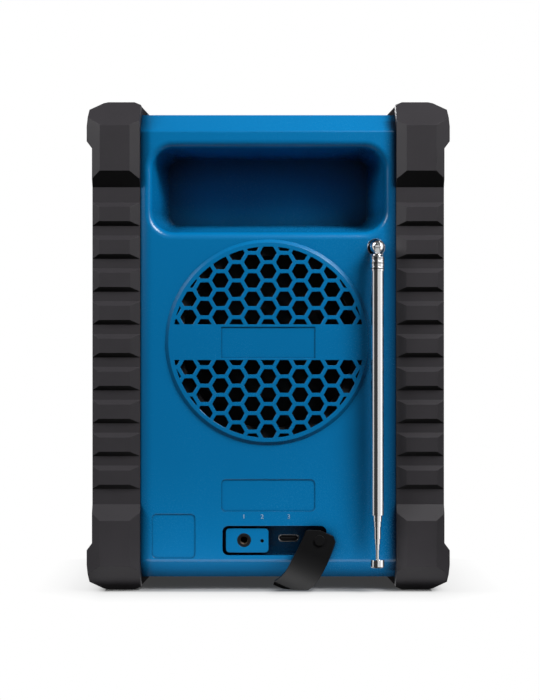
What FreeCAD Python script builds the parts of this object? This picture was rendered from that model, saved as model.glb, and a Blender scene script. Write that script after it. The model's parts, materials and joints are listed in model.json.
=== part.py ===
import FreeCAD, Part
import Sketcher
import math
import os
from types import SimpleNamespace

Vector = FreeCAD.Vector
Rotation = FreeCAD.Rotation

# Jobsite radio, in millimetres.
# The photographed rear side faces -Y, +X is to the right in the photograph and +Z is up.
# The origin lies under the middle of the radio, on the surface that it stands on.

# Driving dimensions: every size and place below is worked out from these
DIMENSIONS = {
    # housing
    "housing_half_width": 54.8,
    "housing_half_depth": 53.0,
    "housing_half_height": 100.0,
    "ground_gap": 5.0,
    "crease_drop": 8.0,
    "slope_depth": 9.0,
    "end_reach": 15.2,
    "end_step": 2.6,
    "wall": 2.5,
    "skin": 2.2,
    "crease_round": 1.6,
    "seal_width": 1.4,
    "seal_depth": 1.0,
    # posts and long screws that join the two shells
    "post_radius": 3.6,
    "post_inset": 8.0,
    "post_end": 25.0,
    "screw_seat": 12.0,
    "screw_reach": 22.0,
    "screw_head": 2.9,
    "screw_shank": 1.5,
    # grip pocket under the top bar
    "grip_side": 4.5,
    "grip_below_top": 14.9,
    "grip_above_vent": 2.7,
    "grip_depth": 30.0,
    "grip_taper": 6.3,
    "grip_taper_low": 5.5,
    "grip_taper_high": 2.0,
    "grip_corner": 9.5,
    "grip_back_corner": 4.0,
    "grip_rim": 3.2,
    # round vent
    "vent_above_middle": 1.5,
    "vent_side": 10.7,
    "vent_bevel": 1.4,
    "vent_rim": 2.6,
    "vent_proud": 1.1,
    "vent_bar_half": 7.62,
    "cell_across": 6.2,
    "cell_column": 6.81,
    "cell_pitch": 7.86,
    "cell_first_even": 6.74,
    "cell_first_odd": 10.67,
    # shallow bare label recesses
    "label_depth": 0.35,
    "label_corner": 2.0,
    "label_half_width": 20.1,
    "bar_label_below": 6.8,
    "bar_label_above": 6.5,
    "low_label_up": 29.1,
    "low_label_height": 13.7,
    "square_label_side": 5.0,
    "square_label_width": 18.6,
    "square_label_up": 9.0,
    "square_label_height": 19.0,
    # port bay
    "bay_left": -19.6,
    "bay_right": 24.9,
    "bay_up": 10.3,
    "bay_height": 12.6,
    "bay_depth": 7.0,
    "bay_corner": 2.6,
    "island_inset": 1.5,
    "island_width": 18.2,
    "island_up": 1.1,
    "island_height": 10.35,
    "island_corner": 1.6,
    "island_below": 0.8,
    "jack_across": -10.36,
    "jack_above_bay": 6.4,
    "jack_nose_radius": 2.92,
    "jack_bore_radius": 1.78,
    "reset_across": -2.6,
    "reset_above_bay": 6.1,
    "reset_radius": 0.68,
    "usb_across": 8.8,
    "usb_above_bay": 6.6,
    "usb_width": 8.94,
    "usb_height": 3.16,
    "board_gap": 2.0,
    # flap
    "tether_across": 21.9,
    "tether_above_bay": 6.7,
    "tether_radius": 2.2,
    "flap_width": 13.4,
    "flap_thick": 2.0,
    "flap_gap": 0.9,
    "flap_hang": 8.0,
    "flap_bend": 21.5,
    "flap_curl": 50.0,
    "flap_corner": 1.4,
    "flap_lean": 23.9,
    "flap_across": 21.8,
    "flap_above_bay": 8.5,
    # mast
    "mast_side": 8.6,
    "mast_below_top": 57.9,
    "mast_out": 7.6,
    "ball_radius": 3.1,
    "stud_radius": 1.95,
    "well_radius": 3.65,
    "well_depth": 2.0,
    "boss_radius": 5.6,
    "boss_height": 3.0,
    "tongue_half": 0.95,
    "pin_radius": 0.6,
    "ferrule_radius": 3.0,
    "ferrule_top": 4.5,
    "ferrule_length": 6.0,
    "mast_short": 8.3,
    "mast_grip": 5.3,
    "tip_length": 3.4,
    # bumpers
    "bumper_reach": 5.2,
    "cap_reach": 2.4,
    "valley_proud": 0.3,
    "rib_proud": 2.3,
    "cap_proud": 4.4,
    "cap_side_bevel": 3.5,
    "rib_count": 9,
    "rib_pitch": 14.06,
    "rib_base": 10.0,
    "rib_face": 6.1,
    "rib_inner_bevel": 4.2,
    "rib_outer_bevel": 3.0,
    "cap_height": 45.0,
    "cap_slope_height": 37.2,
    "cap_face_height": 30.5,
    "cap_face_end": 11.1,
    "cap_top_depth": 9.4,
    "lip_reach": 3.4,
    "lip_rise": 3.7,
    # front side
    "speaker_zone_low": 11.6,
    "speaker_zone_high": 24.6,
    "speaker_rim": 7.4,
    "grille_rim": 0.4,
    "grille_bevel": 1.4,
    "grille_proud": 1.4,
    "slot_height": 3.6,
    "slot_pitch": 6.0,
    "knob_side": 16.8,
    "control_above_middle": 27.0,
    "knob_radius": 12.0,
    "knob_proud": 11.0,
    "shaft_radius": 3.0,
    "neck_radius": 4.5,
    "button_width": 12.0,
    "button_height": 8.0,
    "button_corner": 1.5,
    "button_pitch_across": 16.0,
    "button_pitch_up": 12.0,
    "window_side": 21.8,
    "window_above_controls": 21.0,
    "window_below_top": 14.0,
    "window_corner": 3.0,
    "window_depth": 1.5,
    # boards and small screws
    "board_thick": 1.6,
    "main_board_face": 9.6,
    "key_board_below": 10.5,
    "board_post_radius": 2.8,
    "small_shank": 1.2,
    "small_head": 2.2,
    "small_head_height": 1.5,
    # loudspeaker and passive radiator
    "driver_screw_inset": 2.6,
    "flange_thick": 2.0,
    "frame_depth": 24.5,
    "magnet_radius": 22.5,
    "magnet_height": 15.0,
    "coil_radius": 10.9,
    "coil_bore": 9.7,
    "cone_thick": 0.8,
    "roll_thick": 1.0,
    "radiator_radius": 37.0,
    "radiator_plate_radius": 24.0,
    # battery
    "cell_radius": 9.2,
    "cell_length": 65.0,
    "cell_spacing": 19.6,
    "cell_above_floor": 13.9,
    "fit": 0.05,
}

doc = FreeCAD.newDocument("jobsite_radio")
sheet = doc.addObject("Spreadsheet::Sheet", "Dim")
for row, (alias, number) in enumerate(DIMENSIONS.items(), start=1):
    sheet.set("A%d" % row, alias.replace("_", " "))
    sheet.set("B%d" % row, str(number))
    sheet.setAlias("B%d" % row, alias)
doc.recompute()


class Size:
    """A length that knows its number and the spreadsheet formula behind it."""

    def __init__(self, number, formula):
        self.number = float(number)
        self.formula = formula

    def join(self, other, sign, number):
        return Size(number, "(%s %s %s)" % (self.formula, sign, as_size(other).formula))

    def __add__(self, other):
        return self.join(other, "+", self.number + float(other))

    def __sub__(self, other):
        return self.join(other, "-", self.number - float(other))

    def __mul__(self, other):
        return self.join(other, "*", self.number * float(other))

    def __truediv__(self, other):
        return self.join(other, "/", self.number / float(other))

    def __radd__(self, other):
        return as_size(other) + self

    def __rsub__(self, other):
        return as_size(other) - self

    def __rmul__(self, other):
        return as_size(other) * self

    def __neg__(self):
        return self * -1

    def __float__(self):
        return self.number


def as_size(value):
    return value if isinstance(value, Size) else Size(value, "(%.6f)" % value)


D = SimpleNamespace(**{name: Size(sheet.get(name), "Dim." + name) for name in DIMENSIONS})
NODES = []

# Places that follow from the driving dimensions
D.housing_middle = D.ground_gap + D.housing_half_height
D.housing_top = D.housing_middle + D.housing_half_height
D.crease_half_height = D.housing_half_height - D.crease_drop
D.end_half_width = D.housing_half_width + D.end_reach
D.bumper_side = D.end_half_width + D.bumper_reach
D.cap_side = D.bumper_side + D.cap_reach
D.post_across = D.end_half_width - D.post_inset
D.vent_middle = D.housing_middle + D.vent_above_middle
D.vent_radius = D.housing_half_width - D.vent_side
D.vent_top_radius = D.vent_radius - D.vent_bevel
D.vent_hole_radius = D.vent_radius - D.vent_rim
D.grip_half_width = D.housing_half_width - D.grip_side
D.grip_bottom = D.vent_middle + D.vent_radius + D.grip_above_vent
D.grip_top = D.housing_top - D.grip_below_top
D.bar_label_bottom = D.vent_middle - D.bar_label_below
D.bar_label_top = D.vent_middle + D.bar_label_above
D.low_label_bottom = D.ground_gap + D.low_label_up
D.low_label_top = D.low_label_bottom + D.low_label_height
D.square_label_left = D.square_label_side - D.housing_half_width
D.square_label_right = D.square_label_left + D.square_label_width
D.square_label_bottom = D.ground_gap + D.square_label_up
D.square_label_top = D.square_label_bottom + D.square_label_height
D.bay_bottom = D.ground_gap + D.bay_up
D.bay_top = D.bay_bottom + D.bay_height
D.island_left = D.bay_left + D.island_inset
D.island_right = D.island_left + D.island_width
D.island_bottom = D.bay_bottom + D.island_up
D.island_top = D.island_bottom + D.island_height
D.jack_up = D.bay_bottom + D.jack_above_bay
D.reset_up = D.bay_bottom + D.reset_above_bay
D.usb_up = D.bay_bottom + D.usb_above_bay
D.tether_up = D.bay_bottom + D.tether_above_bay
D.flap_up = D.bay_bottom + D.flap_above_bay
D.mast_across = D.housing_half_width - D.mast_side
D.mast_up = D.housing_top - D.mast_below_top
D.knob_across = D.housing_half_width - D.knob_side
D.control_up = D.housing_middle + D.control_above_middle
D.window_half_width = D.housing_half_width - D.window_side
D.window_bottom = D.control_up + D.window_above_controls
D.window_top = D.housing_top - D.window_below_top
SPEAKER_LOW = D.ground_gap + D.speaker_zone_low
SPEAKER_HIGH = D.control_up - D.speaker_zone_high
D.speaker_up = (SPEAKER_LOW + SPEAKER_HIGH) / 2
D.speaker_flange = (SPEAKER_HIGH - SPEAKER_LOW) / 2
D.speaker_opening = D.speaker_flange - D.speaker_rim
D.front_grille_radius = D.speaker_flange - D.grille_rim


def bind(thing, slot, value):
    thing.setExpression(slot, as_size(value).formula)


def node(thing, label):
    """Keep an object of the document as a sub-part of the radio."""
    thing.Label = label
    NODES.append(thing)
    return thing


# Solids from Part primitives
def box(name, across, deep, up):
    """A block between two values along each axis."""
    block = doc.addObject("Part::Box", name)
    for slot, axis, (low, high) in zip(("Length", "Width", "Height"), "xyz", (across, deep, up)):
        bind(block, slot, as_size(high) - low)
        bind(block, "Placement.Base." + axis, low)
    return block


def round_block(name, across, deep, up, radius):
    """A block whose four edges along Y are round."""
    block = box(name + "_block", across, deep, up)
    rounded = doc.addObject("Part::Fillet", name)
    rounded.Base = block
    doc.recompute()
    rounded.Edges = [
        (number, float(radius), float(radius))
        for number, edge in enumerate(block.Shape.Edges, start=1)
        if edge.BoundBox.XLength < 0.01 and edge.BoundBox.ZLength < 0.01
    ]
    return rounded


TURNS = {
    "x": Rotation(Vector(0, 1, 0), 90),
    "y": Rotation(Vector(1, 0, 0), -90),
    "z": Rotation(),
}


def place(thing, axis, middle, start):
    """Lay a solid's own axis along x, y or z, through a middle, from a start value."""
    thing.Placement = FreeCAD.Placement(Vector(), TURNS[axis])
    spots = {"x": "yz", "y": "xz", "z": "xy"}[axis]
    bind(thing, "Placement.Base." + axis, start)
    for spot, value in zip(spots, middle):
        bind(thing, "Placement.Base." + spot, value)
    return thing


def cylinder(name, axis, middle, radius, span):
    rod = doc.addObject("Part::Cylinder", name)
    bind(rod, "Radius", radius)
    bind(rod, "Height", as_size(span[1]) - span[0])
    return place(rod, axis, middle, span[0])


def cone(name, axis, middle, radii, span):
    taper = doc.addObject("Part::Cone", name)
    bind(taper, "Radius1", radii[0])
    bind(taper, "Radius2", radii[1])
    bind(taper, "Height", as_size(span[1]) - span[0])
    return place(taper, axis, middle, span[0])


def fuse(name, things):
    joined = doc.addObject("Part::MultiFuse", name)
    joined.Shapes = things
    joined.Refine = True
    return joined


def cut(name, base, tool):
    rest = doc.addObject("Part::Cut", name)
    rest.Base = base
    rest.Tool = tool if not isinstance(tool, list) else fuse(name + "_tools", tool)
    return rest


def common(name, first, second):
    shared = doc.addObject("Part::Common", name)
    shared.Base = first
    shared.Tool = second
    return shared


def ring(name, axis, middle, outer, inner, span):
    return cut(
        name,
        cylinder(name + "_rim", axis, middle, outer, span),
        cylinder(name + "_bore", axis, middle, inner, span),
    )


def group(name, solids):
    """Loose solids of one kind, kept as one sub-part."""
    kept = doc.addObject("Part::Compound", name)
    kept.Links = solids
    return kept


# Sketches and features of the moulded bodies
def new_body(name):
    return doc.addObject("PartDesign::Body", name)


def sketch_on(body, role, name, offset=0.0):
    """A sketch on one of the body's own origin planes, moved along the plane's normal."""
    flat = [f for f in body.Origin.OriginFeatures if f.Role == role][0]
    sketch = body.newObject("Sketcher::SketchObject", name)
    sketch.AttachmentSupport = (flat, [""])
    sketch.MapMode = "FlatFace"
    bind(sketch, "AttachmentOffset.Base.z", offset)
    return sketch


def hold(sketch, kind, edge, end, value):
    """Hold one end of a sketch edge at a distance from the sketch's origin."""
    number = sketch.addConstraint(Sketcher.Constraint(kind, -1, 1, edge, end, float(value)))
    bind(sketch, "Constraints[%d]" % number, value)


def outline(sketch, points):
    """A closed outline of straight edges through points that the sheet holds."""
    spots = [Vector(float(a), float(b), 0) for a, b in points]
    count = len(spots)
    edges = [
        sketch.addGeometry(Part.LineSegment(spots[i], spots[(i + 1) % count]), False)
        for i in range(count)
    ]
    for i, edge in enumerate(edges):
        sketch.addConstraint(Sketcher.Constraint("Coincident", edge, 2, edges[(i + 1) % count], 1))
        hold(sketch, "DistanceX", edge, 1, points[i][0])
        hold(sketch, "DistanceY", edge, 1, points[i][1])


def rectangle(sketch, across, up):
    (left, right), (low, high) = across, up
    outline(sketch, [(left, low), (right, low), (right, high), (left, high)])


def round_rectangle(sketch, across, up, corner):
    """A rectangle with four equal round corners."""
    left, right = float(across[0]), float(across[1])
    low, high = float(up[0]), float(up[1])
    r = float(corner)
    corners = [(right - r, low + r, -90), (right - r, high - r, 0), (left + r, high - r, 90), (left + r, low + r, 180)]
    arcs = []
    for x, y, start in corners:
        circle = Part.Circle(Vector(x, y, 0), Vector(0, 0, 1), r)
        arcs.append(
            sketch.addGeometry(
                Part.ArcOfCircle(circle, math.radians(start), math.radians(start + 90)), False
            )
        )
    lines = []
    for i in range(4):
        from_arc = sketch.Geometry[arcs[i]].EndPoint
        to_arc = sketch.Geometry[arcs[(i + 1) % 4]].StartPoint
        lines.append(sketch.addGeometry(Part.LineSegment(from_arc, to_arc), False))
    for i in range(4):
        sketch.addConstraint(Sketcher.Constraint("Tangent", arcs[i], 2, lines[i], 1))
        sketch.addConstraint(Sketcher.Constraint("Tangent", lines[i], 2, arcs[(i + 1) % 4], 1))
    for i in range(3):
        sketch.addConstraint(Sketcher.Constraint("Equal", arcs[i], arcs[i + 1]))
    radius = sketch.addConstraint(Sketcher.Constraint("Radius", arcs[0], r))
    bind(sketch, "Constraints[%d]" % radius, corner)
    sketch.addConstraint(Sketcher.Constraint("Vertical", lines[0]))
    sketch.addConstraint(Sketcher.Constraint("Horizontal", lines[1]))
    hold(sketch, "DistanceX", lines[0], 1, across[1])
    hold(sketch, "DistanceY", lines[1], 1, up[1])
    hold(sketch, "DistanceX", lines[2], 1, across[0])
    hold(sketch, "DistanceY", lines[3], 1, up[0])


def disc(sketch, across, up, radius):
    edge = sketch.addGeometry(Part.Circle(Vector(float(across), float(up), 0), Vector(0, 0, 1), float(radius)), False)
    size = sketch.addConstraint(Sketcher.Constraint("Radius", edge, float(radius)))
    bind(sketch, "Constraints[%d]" % size, radius)
    if float(across) == 0.0:
        sketch.addConstraint(Sketcher.Constraint("PointOnObject", edge, 3, -2))
    else:
        hold(sketch, "DistanceX", edge, 3, across)
    hold(sketch, "DistanceY", edge, 3, up)


def feature(body, kind, name, sketch, **settings):
    """Add a pad or pocket, and see that it adds or takes material."""
    before = body.Shape.Volume if body.Tip else 0.0
    made = body.newObject("PartDesign::" + kind, name)
    made.Profile = sketch
    for slot, value in settings.items():
        if isinstance(value, Size):
            bind(made, slot, value)
        else:
            setattr(made, slot, value)
    doc.recompute()
    change = made.Shape.Volume - before
    if change * (1 if kind == "Pad" else -1) < 1e-6:
        raise RuntimeError("%s changes the volume by %.3f" % (name, change))
    return made


def round_edges(body, name, radius, wanted):
    """Fillet the edges of the body's newest feature whose middle and box pass a test."""
    doc.recompute()
    base = body.Tip
    names = [
        "Edge%d" % (i + 1)
        for i, edge in enumerate(base.Shape.Edges)
        if wanted(edge.BoundBox)
    ]
    if not names:
        raise RuntimeError("no edge found for " + name)
    fillet = body.newObject("PartDesign::Fillet", name)
    fillet.Base = (base, names)
    bind(fillet, "Radius", radius)
    return fillet


def near(a, b, slack=0.05):
    return abs(a - float(b)) < slack


# Shared places of the housing: 'side' is -1 for the rear shell and 1 for the front shell
def slab_points(side, half_height, crease, face, slope):
    """The housing's side view: a deep block whose face falls away at the top and bottom."""
    mid = D.housing_middle
    return [
        (side * SEAM, mid - half_height),
        (side * SEAM, mid + half_height),
        (side * (face - slope), mid + half_height),
        (side * face, mid + crease),
        (side * face, mid - crease),
        (side * (face - slope), mid - half_height),
    ]


END_HEIGHT = D.housing_half_height - D.end_step
END_CREASE = D.crease_half_height - D.end_step / 2
END_FACE = D.housing_half_depth - D.end_step
ROOM_HEIGHT = END_HEIGHT - D.wall
ROOM_CREASE = END_CREASE - D.wall / 2
ROOM_FACE = END_FACE - D.wall
INNER_FACE = D.housing_half_depth - D.wall
GRIP_BACK = D.housing_half_depth - D.grip_depth
REAR = -D.housing_half_depth
FRONT = D.housing_half_depth
FLOOR = D.housing_middle - ROOM_HEIGHT
# both shells meet here with a gap far below any real seam, so that they never share a face
SEAM = 0.01
POSTS = [
    (side * D.post_across, up)
    for side in (-1, 1)
    for up in (D.ground_gap + D.post_end, D.housing_top - D.post_end)
]


def around(middle, radius):
    """Four places on a circle about (0, middle), on its diagonals, as (across, up)."""
    reach = radius * math.sqrt(0.5)
    return [(side * reach, middle + half * reach) for side, half in ((1, 1), (-1, 1), (-1, -1), (1, -1))]


RADIATOR_SCREWS = around(D.vent_middle, D.vent_hole_radius + 5.0)
SPEAKER_SCREWS = around(D.speaker_up, D.speaker_flange - D.driver_screw_inset)
MAIN_POSTS = [
    (side * (D.housing_half_width - 4.8), D.control_up + up) for side in (-1, 1) for up in (-20.0, 16.0)
]
KEY_POSTS = [
    (side * (D.button_pitch_across + 10.0), D.control_up + up) for side in (-1, 1) for up in (-13.5, 15.5)
]
MAIN_BOARD = D.main_board_face
KEY_BOARD = INNER_FACE - D.key_board_below
KEY_GAP = 2 * D.fit
BUTTONS = [
    (column * D.button_pitch_across, D.control_up + row * D.button_pitch_up / 2)
    for row in (1, -1)
    for column in (-1, 0, 1)
]


def shell_body(name, side):
    """One half of the housing: block, stepped ends, hollow and the posts for the long screws."""
    body = new_body(name)

    def wide_pad(kind, label, half_width, points):
        sketch = sketch_on(body, "YZ_Plane", name + "_" + label + "_outline")
        outline(sketch, points)
        return feature(body, kind, name + "_" + label, sketch, Length=2 * half_width, Midplane=True)

    wide_pad(
        "Pad", "block", D.housing_half_width,
        slab_points(side, D.housing_half_height, D.crease_half_height, D.housing_half_depth, D.slope_depth),
    )
    wide_pad(
        "Pad", "ends", D.end_half_width,
        slab_points(side, END_HEIGHT, END_CREASE, END_FACE, D.slope_depth),
    )
    wide_pad(
        "Pocket", "room", D.end_half_width - D.wall,
        slab_points(side, ROOM_HEIGHT, ROOM_CREASE, ROOM_FACE, D.slope_depth),
    )
    deep = sketch_on(body, "XZ_Plane", name + "_deep_outline", -side * ROOM_FACE)
    half = D.housing_half_width - D.wall
    rectangle(deep, (-half, half), (D.housing_middle - ROOM_CREASE, D.housing_middle + ROOM_CREASE))
    feature(body, "Pocket", name + "_deep", deep, Length=INNER_FACE - ROOM_FACE, Reversed=side < 0)
    posts = sketch_on(body, "XZ_Plane", name + "_post_outline", -side * SEAM)
    for across, up in POSTS:
        disc(posts, across, up, D.post_radius)
    feature(body, "Pad", name + "_posts", posts, Length=ROOM_FACE + 0.5, Reversed=side > 0)
    groove = sketch_on(body, "XZ_Plane", name + "_seal_outline", -side * SEAM)
    gap = (D.wall - D.seal_width) / 2
    for inset in (gap, gap + D.seal_width):
        rectangle(
            groove,
            (inset - D.end_half_width, D.end_half_width - inset),
            (D.housing_middle - END_HEIGHT + inset, D.housing_middle + END_HEIGHT - inset),
        )
    feature(body, "Pocket", name + "_seal_groove", groove, Length=D.seal_depth, Reversed=side < 0)
    return body


def moulded_loft(body, kind, name, mouth, back):
    """A loft between two round rectangles given as (across, up, corner, offset)."""
    sketches = []
    for label, (across, up, corner, offset) in (("mouth", mouth), ("back", back)):
        sketch = sketch_on(body, "XZ_Plane", "%s_%s" % (name, label), offset)
        round_rectangle(sketch, across, up, corner)
        sketches.append(sketch)
    loft = body.newObject("PartDesign::" + kind, name)
    loft.Profile = sketches[0]
    loft.Sections = [sketches[1]]
    loft.Ruled = True
    return loft


# Rear shell
BAY_FLOOR = D.housing_half_depth - D.bay_depth
BAY_BACK = BAY_FLOOR - D.skin
ISLAND = D.housing_half_depth - D.island_below


def grip_section(grow, back):
    """The grip pocket's outline at its mouth or its back wall, grown by a skin."""
    taper = (D.grip_taper, D.grip_taper_low, D.grip_taper_high) if back else (0.0, 0.0, 0.0)
    half = D.grip_half_width - taper[0] + grow
    up = (D.grip_bottom + taper[1] - grow, D.grip_top - taper[2] + grow)
    corner = (D.grip_back_corner if back else D.grip_corner) + grow
    return (-half, half), up, corner


def rear_shell():
    body = shell_body("rear_shell", -1)
    moulded_loft(
        body, "AdditiveLoft", "grip_skin",
        grip_section(D.skin, False) + (INNER_FACE,),
        grip_section(D.skin, True) + (GRIP_BACK - D.skin,),
    )
    moulded_loft(
        body, "SubtractiveLoft", "grip_hollow",
        grip_section(0.0, False) + (D.housing_half_depth,),
        grip_section(0.0, True) + (GRIP_BACK,),
    )
    skin = sketch_on(body, "XZ_Plane", "bay_skin_outline", BAY_BACK)
    grow = D.skin
    round_rectangle(
        skin, (D.bay_left - grow, D.bay_right + grow), (D.bay_bottom - grow, D.bay_top + grow), D.bay_corner + grow
    )
    feature(body, "Pad", "bay_skin", skin, Length=INNER_FACE - BAY_BACK + 0.5)
    bay = sketch_on(body, "XZ_Plane", "bay_outline", D.housing_half_depth)
    round_rectangle(bay, (D.bay_left, D.bay_right), (D.bay_bottom, D.bay_top), D.bay_corner)
    feature(body, "Pocket", "bay", bay, Length=D.bay_depth)
    island = sketch_on(body, "XZ_Plane", "island_outline", BAY_FLOOR - 0.5)
    round_rectangle(island, (D.island_left, D.island_right), (D.island_bottom, D.island_top), D.island_corner)
    feature(body, "Pad", "island", island, Length=ISLAND - BAY_FLOOR + 0.5)
    well = sketch_on(body, "XZ_Plane", "mast_boss_outline", INNER_FACE - D.boss_height)
    disc(well, D.mast_across, D.mast_up, D.boss_radius)
    feature(body, "Pad", "mast_boss", well, Length=D.boss_height + 0.5)
    through = D.wall + 1.0
    into_bay = ISLAND - BAY_BACK + 1.0
    seat_depth = END_FACE - D.screw_seat
    cuts = (
        ("vent_hole", D.housing_half_depth, through, [(0.0, D.vent_middle, D.vent_hole_radius + 0.4)]),
        ("mast_well", D.housing_half_depth, D.well_depth, [(D.mast_across, D.mast_up, D.well_radius)]),
        (
            "mast_bore", D.housing_half_depth, through + D.boss_height,
            [(D.mast_across, D.mast_up, D.stud_radius + D.fit)],
        ),
        ("jack_bore", ISLAND, into_bay, [(D.jack_across, D.jack_up, D.jack_nose_radius + D.fit)]),
        ("reset_bore", ISLAND, into_bay, [(D.reset_across, D.reset_up, D.reset_radius + D.fit)]),
        ("tether_bore", BAY_FLOOR, D.skin + 1.0, [(D.tether_across, D.tether_up, D.tether_radius + D.fit)]),
        ("screw_wells", END_FACE, seat_depth, [(x, z, D.screw_head + 0.3) for x, z in POSTS]),
        ("screw_bores", END_FACE, END_FACE, [(x, z, D.screw_shank + D.fit) for x, z in POSTS]),
        ("radiator_screw_bores", INNER_FACE + 1.9, as_size(2.4), [(x, z, D.small_shank) for x, z in RADIATOR_SCREWS]),
    )
    for name, start, length, discs in cuts:
        sketch = sketch_on(body, "XZ_Plane", name + "_outline", start)
        for across, up, radius in discs:
            disc(sketch, across, up, radius)
        feature(body, "Pocket", name, sketch, Length=as_size(length))
    usb = sketch_on(body, "XZ_Plane", "usb_slot_outline", BAY_FLOOR)
    half_w = D.usb_width / 2 + D.fit
    half_h = D.usb_height / 2 + D.fit
    round_rectangle(
        usb, (D.usb_across - half_w, D.usb_across + half_w), (D.usb_up - half_h, D.usb_up + half_h), half_h * 0.9
    )
    feature(body, "Pocket", "usb_slot", usb, Length=D.skin + 1.0)
    labels = (
        ("low_label", (-D.label_half_width, D.label_half_width), (D.low_label_bottom, D.low_label_top)),
        ("square_label", (D.square_label_left, D.square_label_right), (D.square_label_bottom, D.square_label_top)),
    )
    for name, across, up in labels:
        sketch = sketch_on(body, "XZ_Plane", name + "_outline", D.housing_half_depth)
        round_rectangle(sketch, across, up, D.label_corner)
        feature(body, "Pocket", name, sketch, Length=D.label_depth)
    mid = D.housing_middle.number
    crease = D.crease_half_height.number
    face = D.housing_half_depth.number
    round_edges(
        body, "crease_rounds", D.crease_round,
        lambda b: near(b.YMin, -face) and near(b.YMax, -face) and b.XLength > 100 and b.ZLength < 0.01
        and (near(b.ZMin, mid + crease) or near(b.ZMin, mid - crease)),
    )
    round_edges(
        body, "grip_rim", D.grip_rim,
        lambda b: near(b.YMin, -face) and near(b.YMax, -face)
        and b.ZMin > D.grip_bottom.number - 0.1 and b.ZMax < D.grip_top.number + 0.1
        and (b.XLength > 80 or b.ZLength > 15 or near(b.XLength, D.grip_corner, 0.2)),
    )
    return body


# Front shell
def front_shell():
    body = shell_body("front_shell", 1)
    for name, start, spots in (("main_posts", MAIN_BOARD, MAIN_POSTS), ("key_posts", KEY_BOARD, KEY_POSTS)):
        sketch = sketch_on(body, "XZ_Plane", name + "_outline", -start)
        for across, up in spots:
            disc(sketch, across, up, D.board_post_radius)
        feature(body, "Pad", name, sketch, Length=INNER_FACE - start + 0.3, Reversed=True)
    through = D.wall + 1.0
    outside = -INNER_FACE + 0.5
    thread = as_size(7.0)
    cuts = (
        ("speaker_hole", outside, through, [(0.0, D.speaker_up, D.speaker_opening)]),
        (
            "knob_holes", outside, through,
            [(side * D.knob_across, D.control_up, D.neck_radius + D.fit) for side in (-1, 1)],
        ),
        (
            "long_screw_bores", as_size(-SEAM / 2), D.screw_reach - D.screw_seat + 1.0,
            [(x, z, D.screw_shank) for x, z in POSTS],
        ),
        ("main_screw_bores", -MAIN_BOARD, thread, [(x, z, D.small_shank) for x, z in MAIN_POSTS]),
        ("key_screw_bores", -KEY_BOARD, thread, [(x, z, D.small_shank) for x, z in KEY_POSTS]),
        ("speaker_screw_bores", -INNER_FACE, as_size(1.6), [(x, z, D.small_shank) for x, z in SPEAKER_SCREWS]),
    )
    for name, start, length, discs in cuts:
        sketch = sketch_on(body, "XZ_Plane", name + "_outline", start)
        for across, up, radius in discs:
            disc(sketch, across, up, radius)
        feature(body, "Pocket", name, sketch, Length=length)
    holes = sketch_on(body, "XZ_Plane", "button_holes_outline", -INNER_FACE + 0.5)
    half_w = D.button_width / 2 + KEY_GAP
    half_h = D.button_height / 2 + KEY_GAP
    for across, up in BUTTONS:
        round_rectangle(
            holes, (across - half_w, across + half_w), (up - half_h, up + half_h), D.button_corner + KEY_GAP
        )
    feature(body, "Pocket", "button_holes", holes, Length=through)
    seat = sketch_on(body, "XZ_Plane", "window_seat_outline", -D.housing_half_depth + D.window_depth)
    wide = (-D.window_half_width, D.window_half_width)
    round_rectangle(seat, wide, (D.window_bottom, D.window_top), D.window_corner)
    feature(body, "Pocket", "window_seat", seat, Length=D.window_depth + 0.5)
    view = sketch_on(body, "XZ_Plane", "window_view_outline", -INNER_FACE + 0.5)
    ledge = D.window_corner
    half = D.window_half_width - ledge
    round_rectangle(view, (-half, half), (D.window_bottom + ledge, D.window_top - ledge), ledge / 2)
    feature(body, "Pocket", "window_view", view, Length=through)
    mid = D.housing_middle.number
    crease = D.crease_half_height.number
    face = D.housing_half_depth.number
    round_edges(
        body, "front_crease_rounds", D.crease_round,
        lambda b: near(b.YMin, face) and near(b.YMax, face) and b.XLength > 100 and b.ZLength < 0.01
        and (near(b.ZMin, mid + crease) or near(b.ZMin, mid - crease)),
    )
    return body


node(rear_shell(), "rear_shell")
node(front_shell(), "front_shell")


def shell_gasket():
    """A square cord that fills the two grooves of the seam."""
    gap = (D.wall - D.seal_width) / 2
    frames = []
    for inset in (gap, gap + D.seal_width):
        frames.append(
            box(
                "gasket_frame_%d" % len(frames),
                (inset - D.end_half_width, D.end_half_width - inset),
                (-D.seal_depth, D.seal_depth),
                (D.housing_middle - END_HEIGHT + inset, D.housing_middle + END_HEIGHT - inset),
            )
        )
    return cut("gasket", frames[0], frames[1])


node(shell_gasket(), "shell_gasket")


# Vent grille: a bevelled disc, its plug in the shell's hole and the honeycomb through both
def honeycomb():
    """The hexagonal cells on both sides of the plain bar, as one compound of prisms."""
    across = D.cell_across.number
    corner = across / math.sqrt(3)
    reach = D.vent_hole_radius.number + across
    deep = 8.0
    cells = []
    columns = int(reach / D.cell_column.number) + 1
    for column in range(-columns, columns + 1):
        first = D.cell_first_odd.number if column % 2 else D.cell_first_even.number
        for step in range(int(reach / D.cell_pitch.number) + 1):
            for half in (-1, 1):
                x = column * D.cell_column.number
                z = half * (first + step * D.cell_pitch.number)
                if math.hypot(x, z) > reach - 0.55 * across:
                    continue
                ends = [
                    Vector(
                        x + corner * math.cos(math.radians(60 * k)),
                        REAR.number - 3.0,
                        D.vent_middle.number + z + corner * math.sin(math.radians(60 * k)),
                    )
                    for k in range(7)
                ]
                cells.append(Part.Face(Part.makePolygon(ends)).extrude(Vector(0, deep, 0)))
    comb = doc.addObject("Part::Feature", "honeycomb")
    comb.Shape = Part.makeCompound(cells)
    return comb


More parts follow.
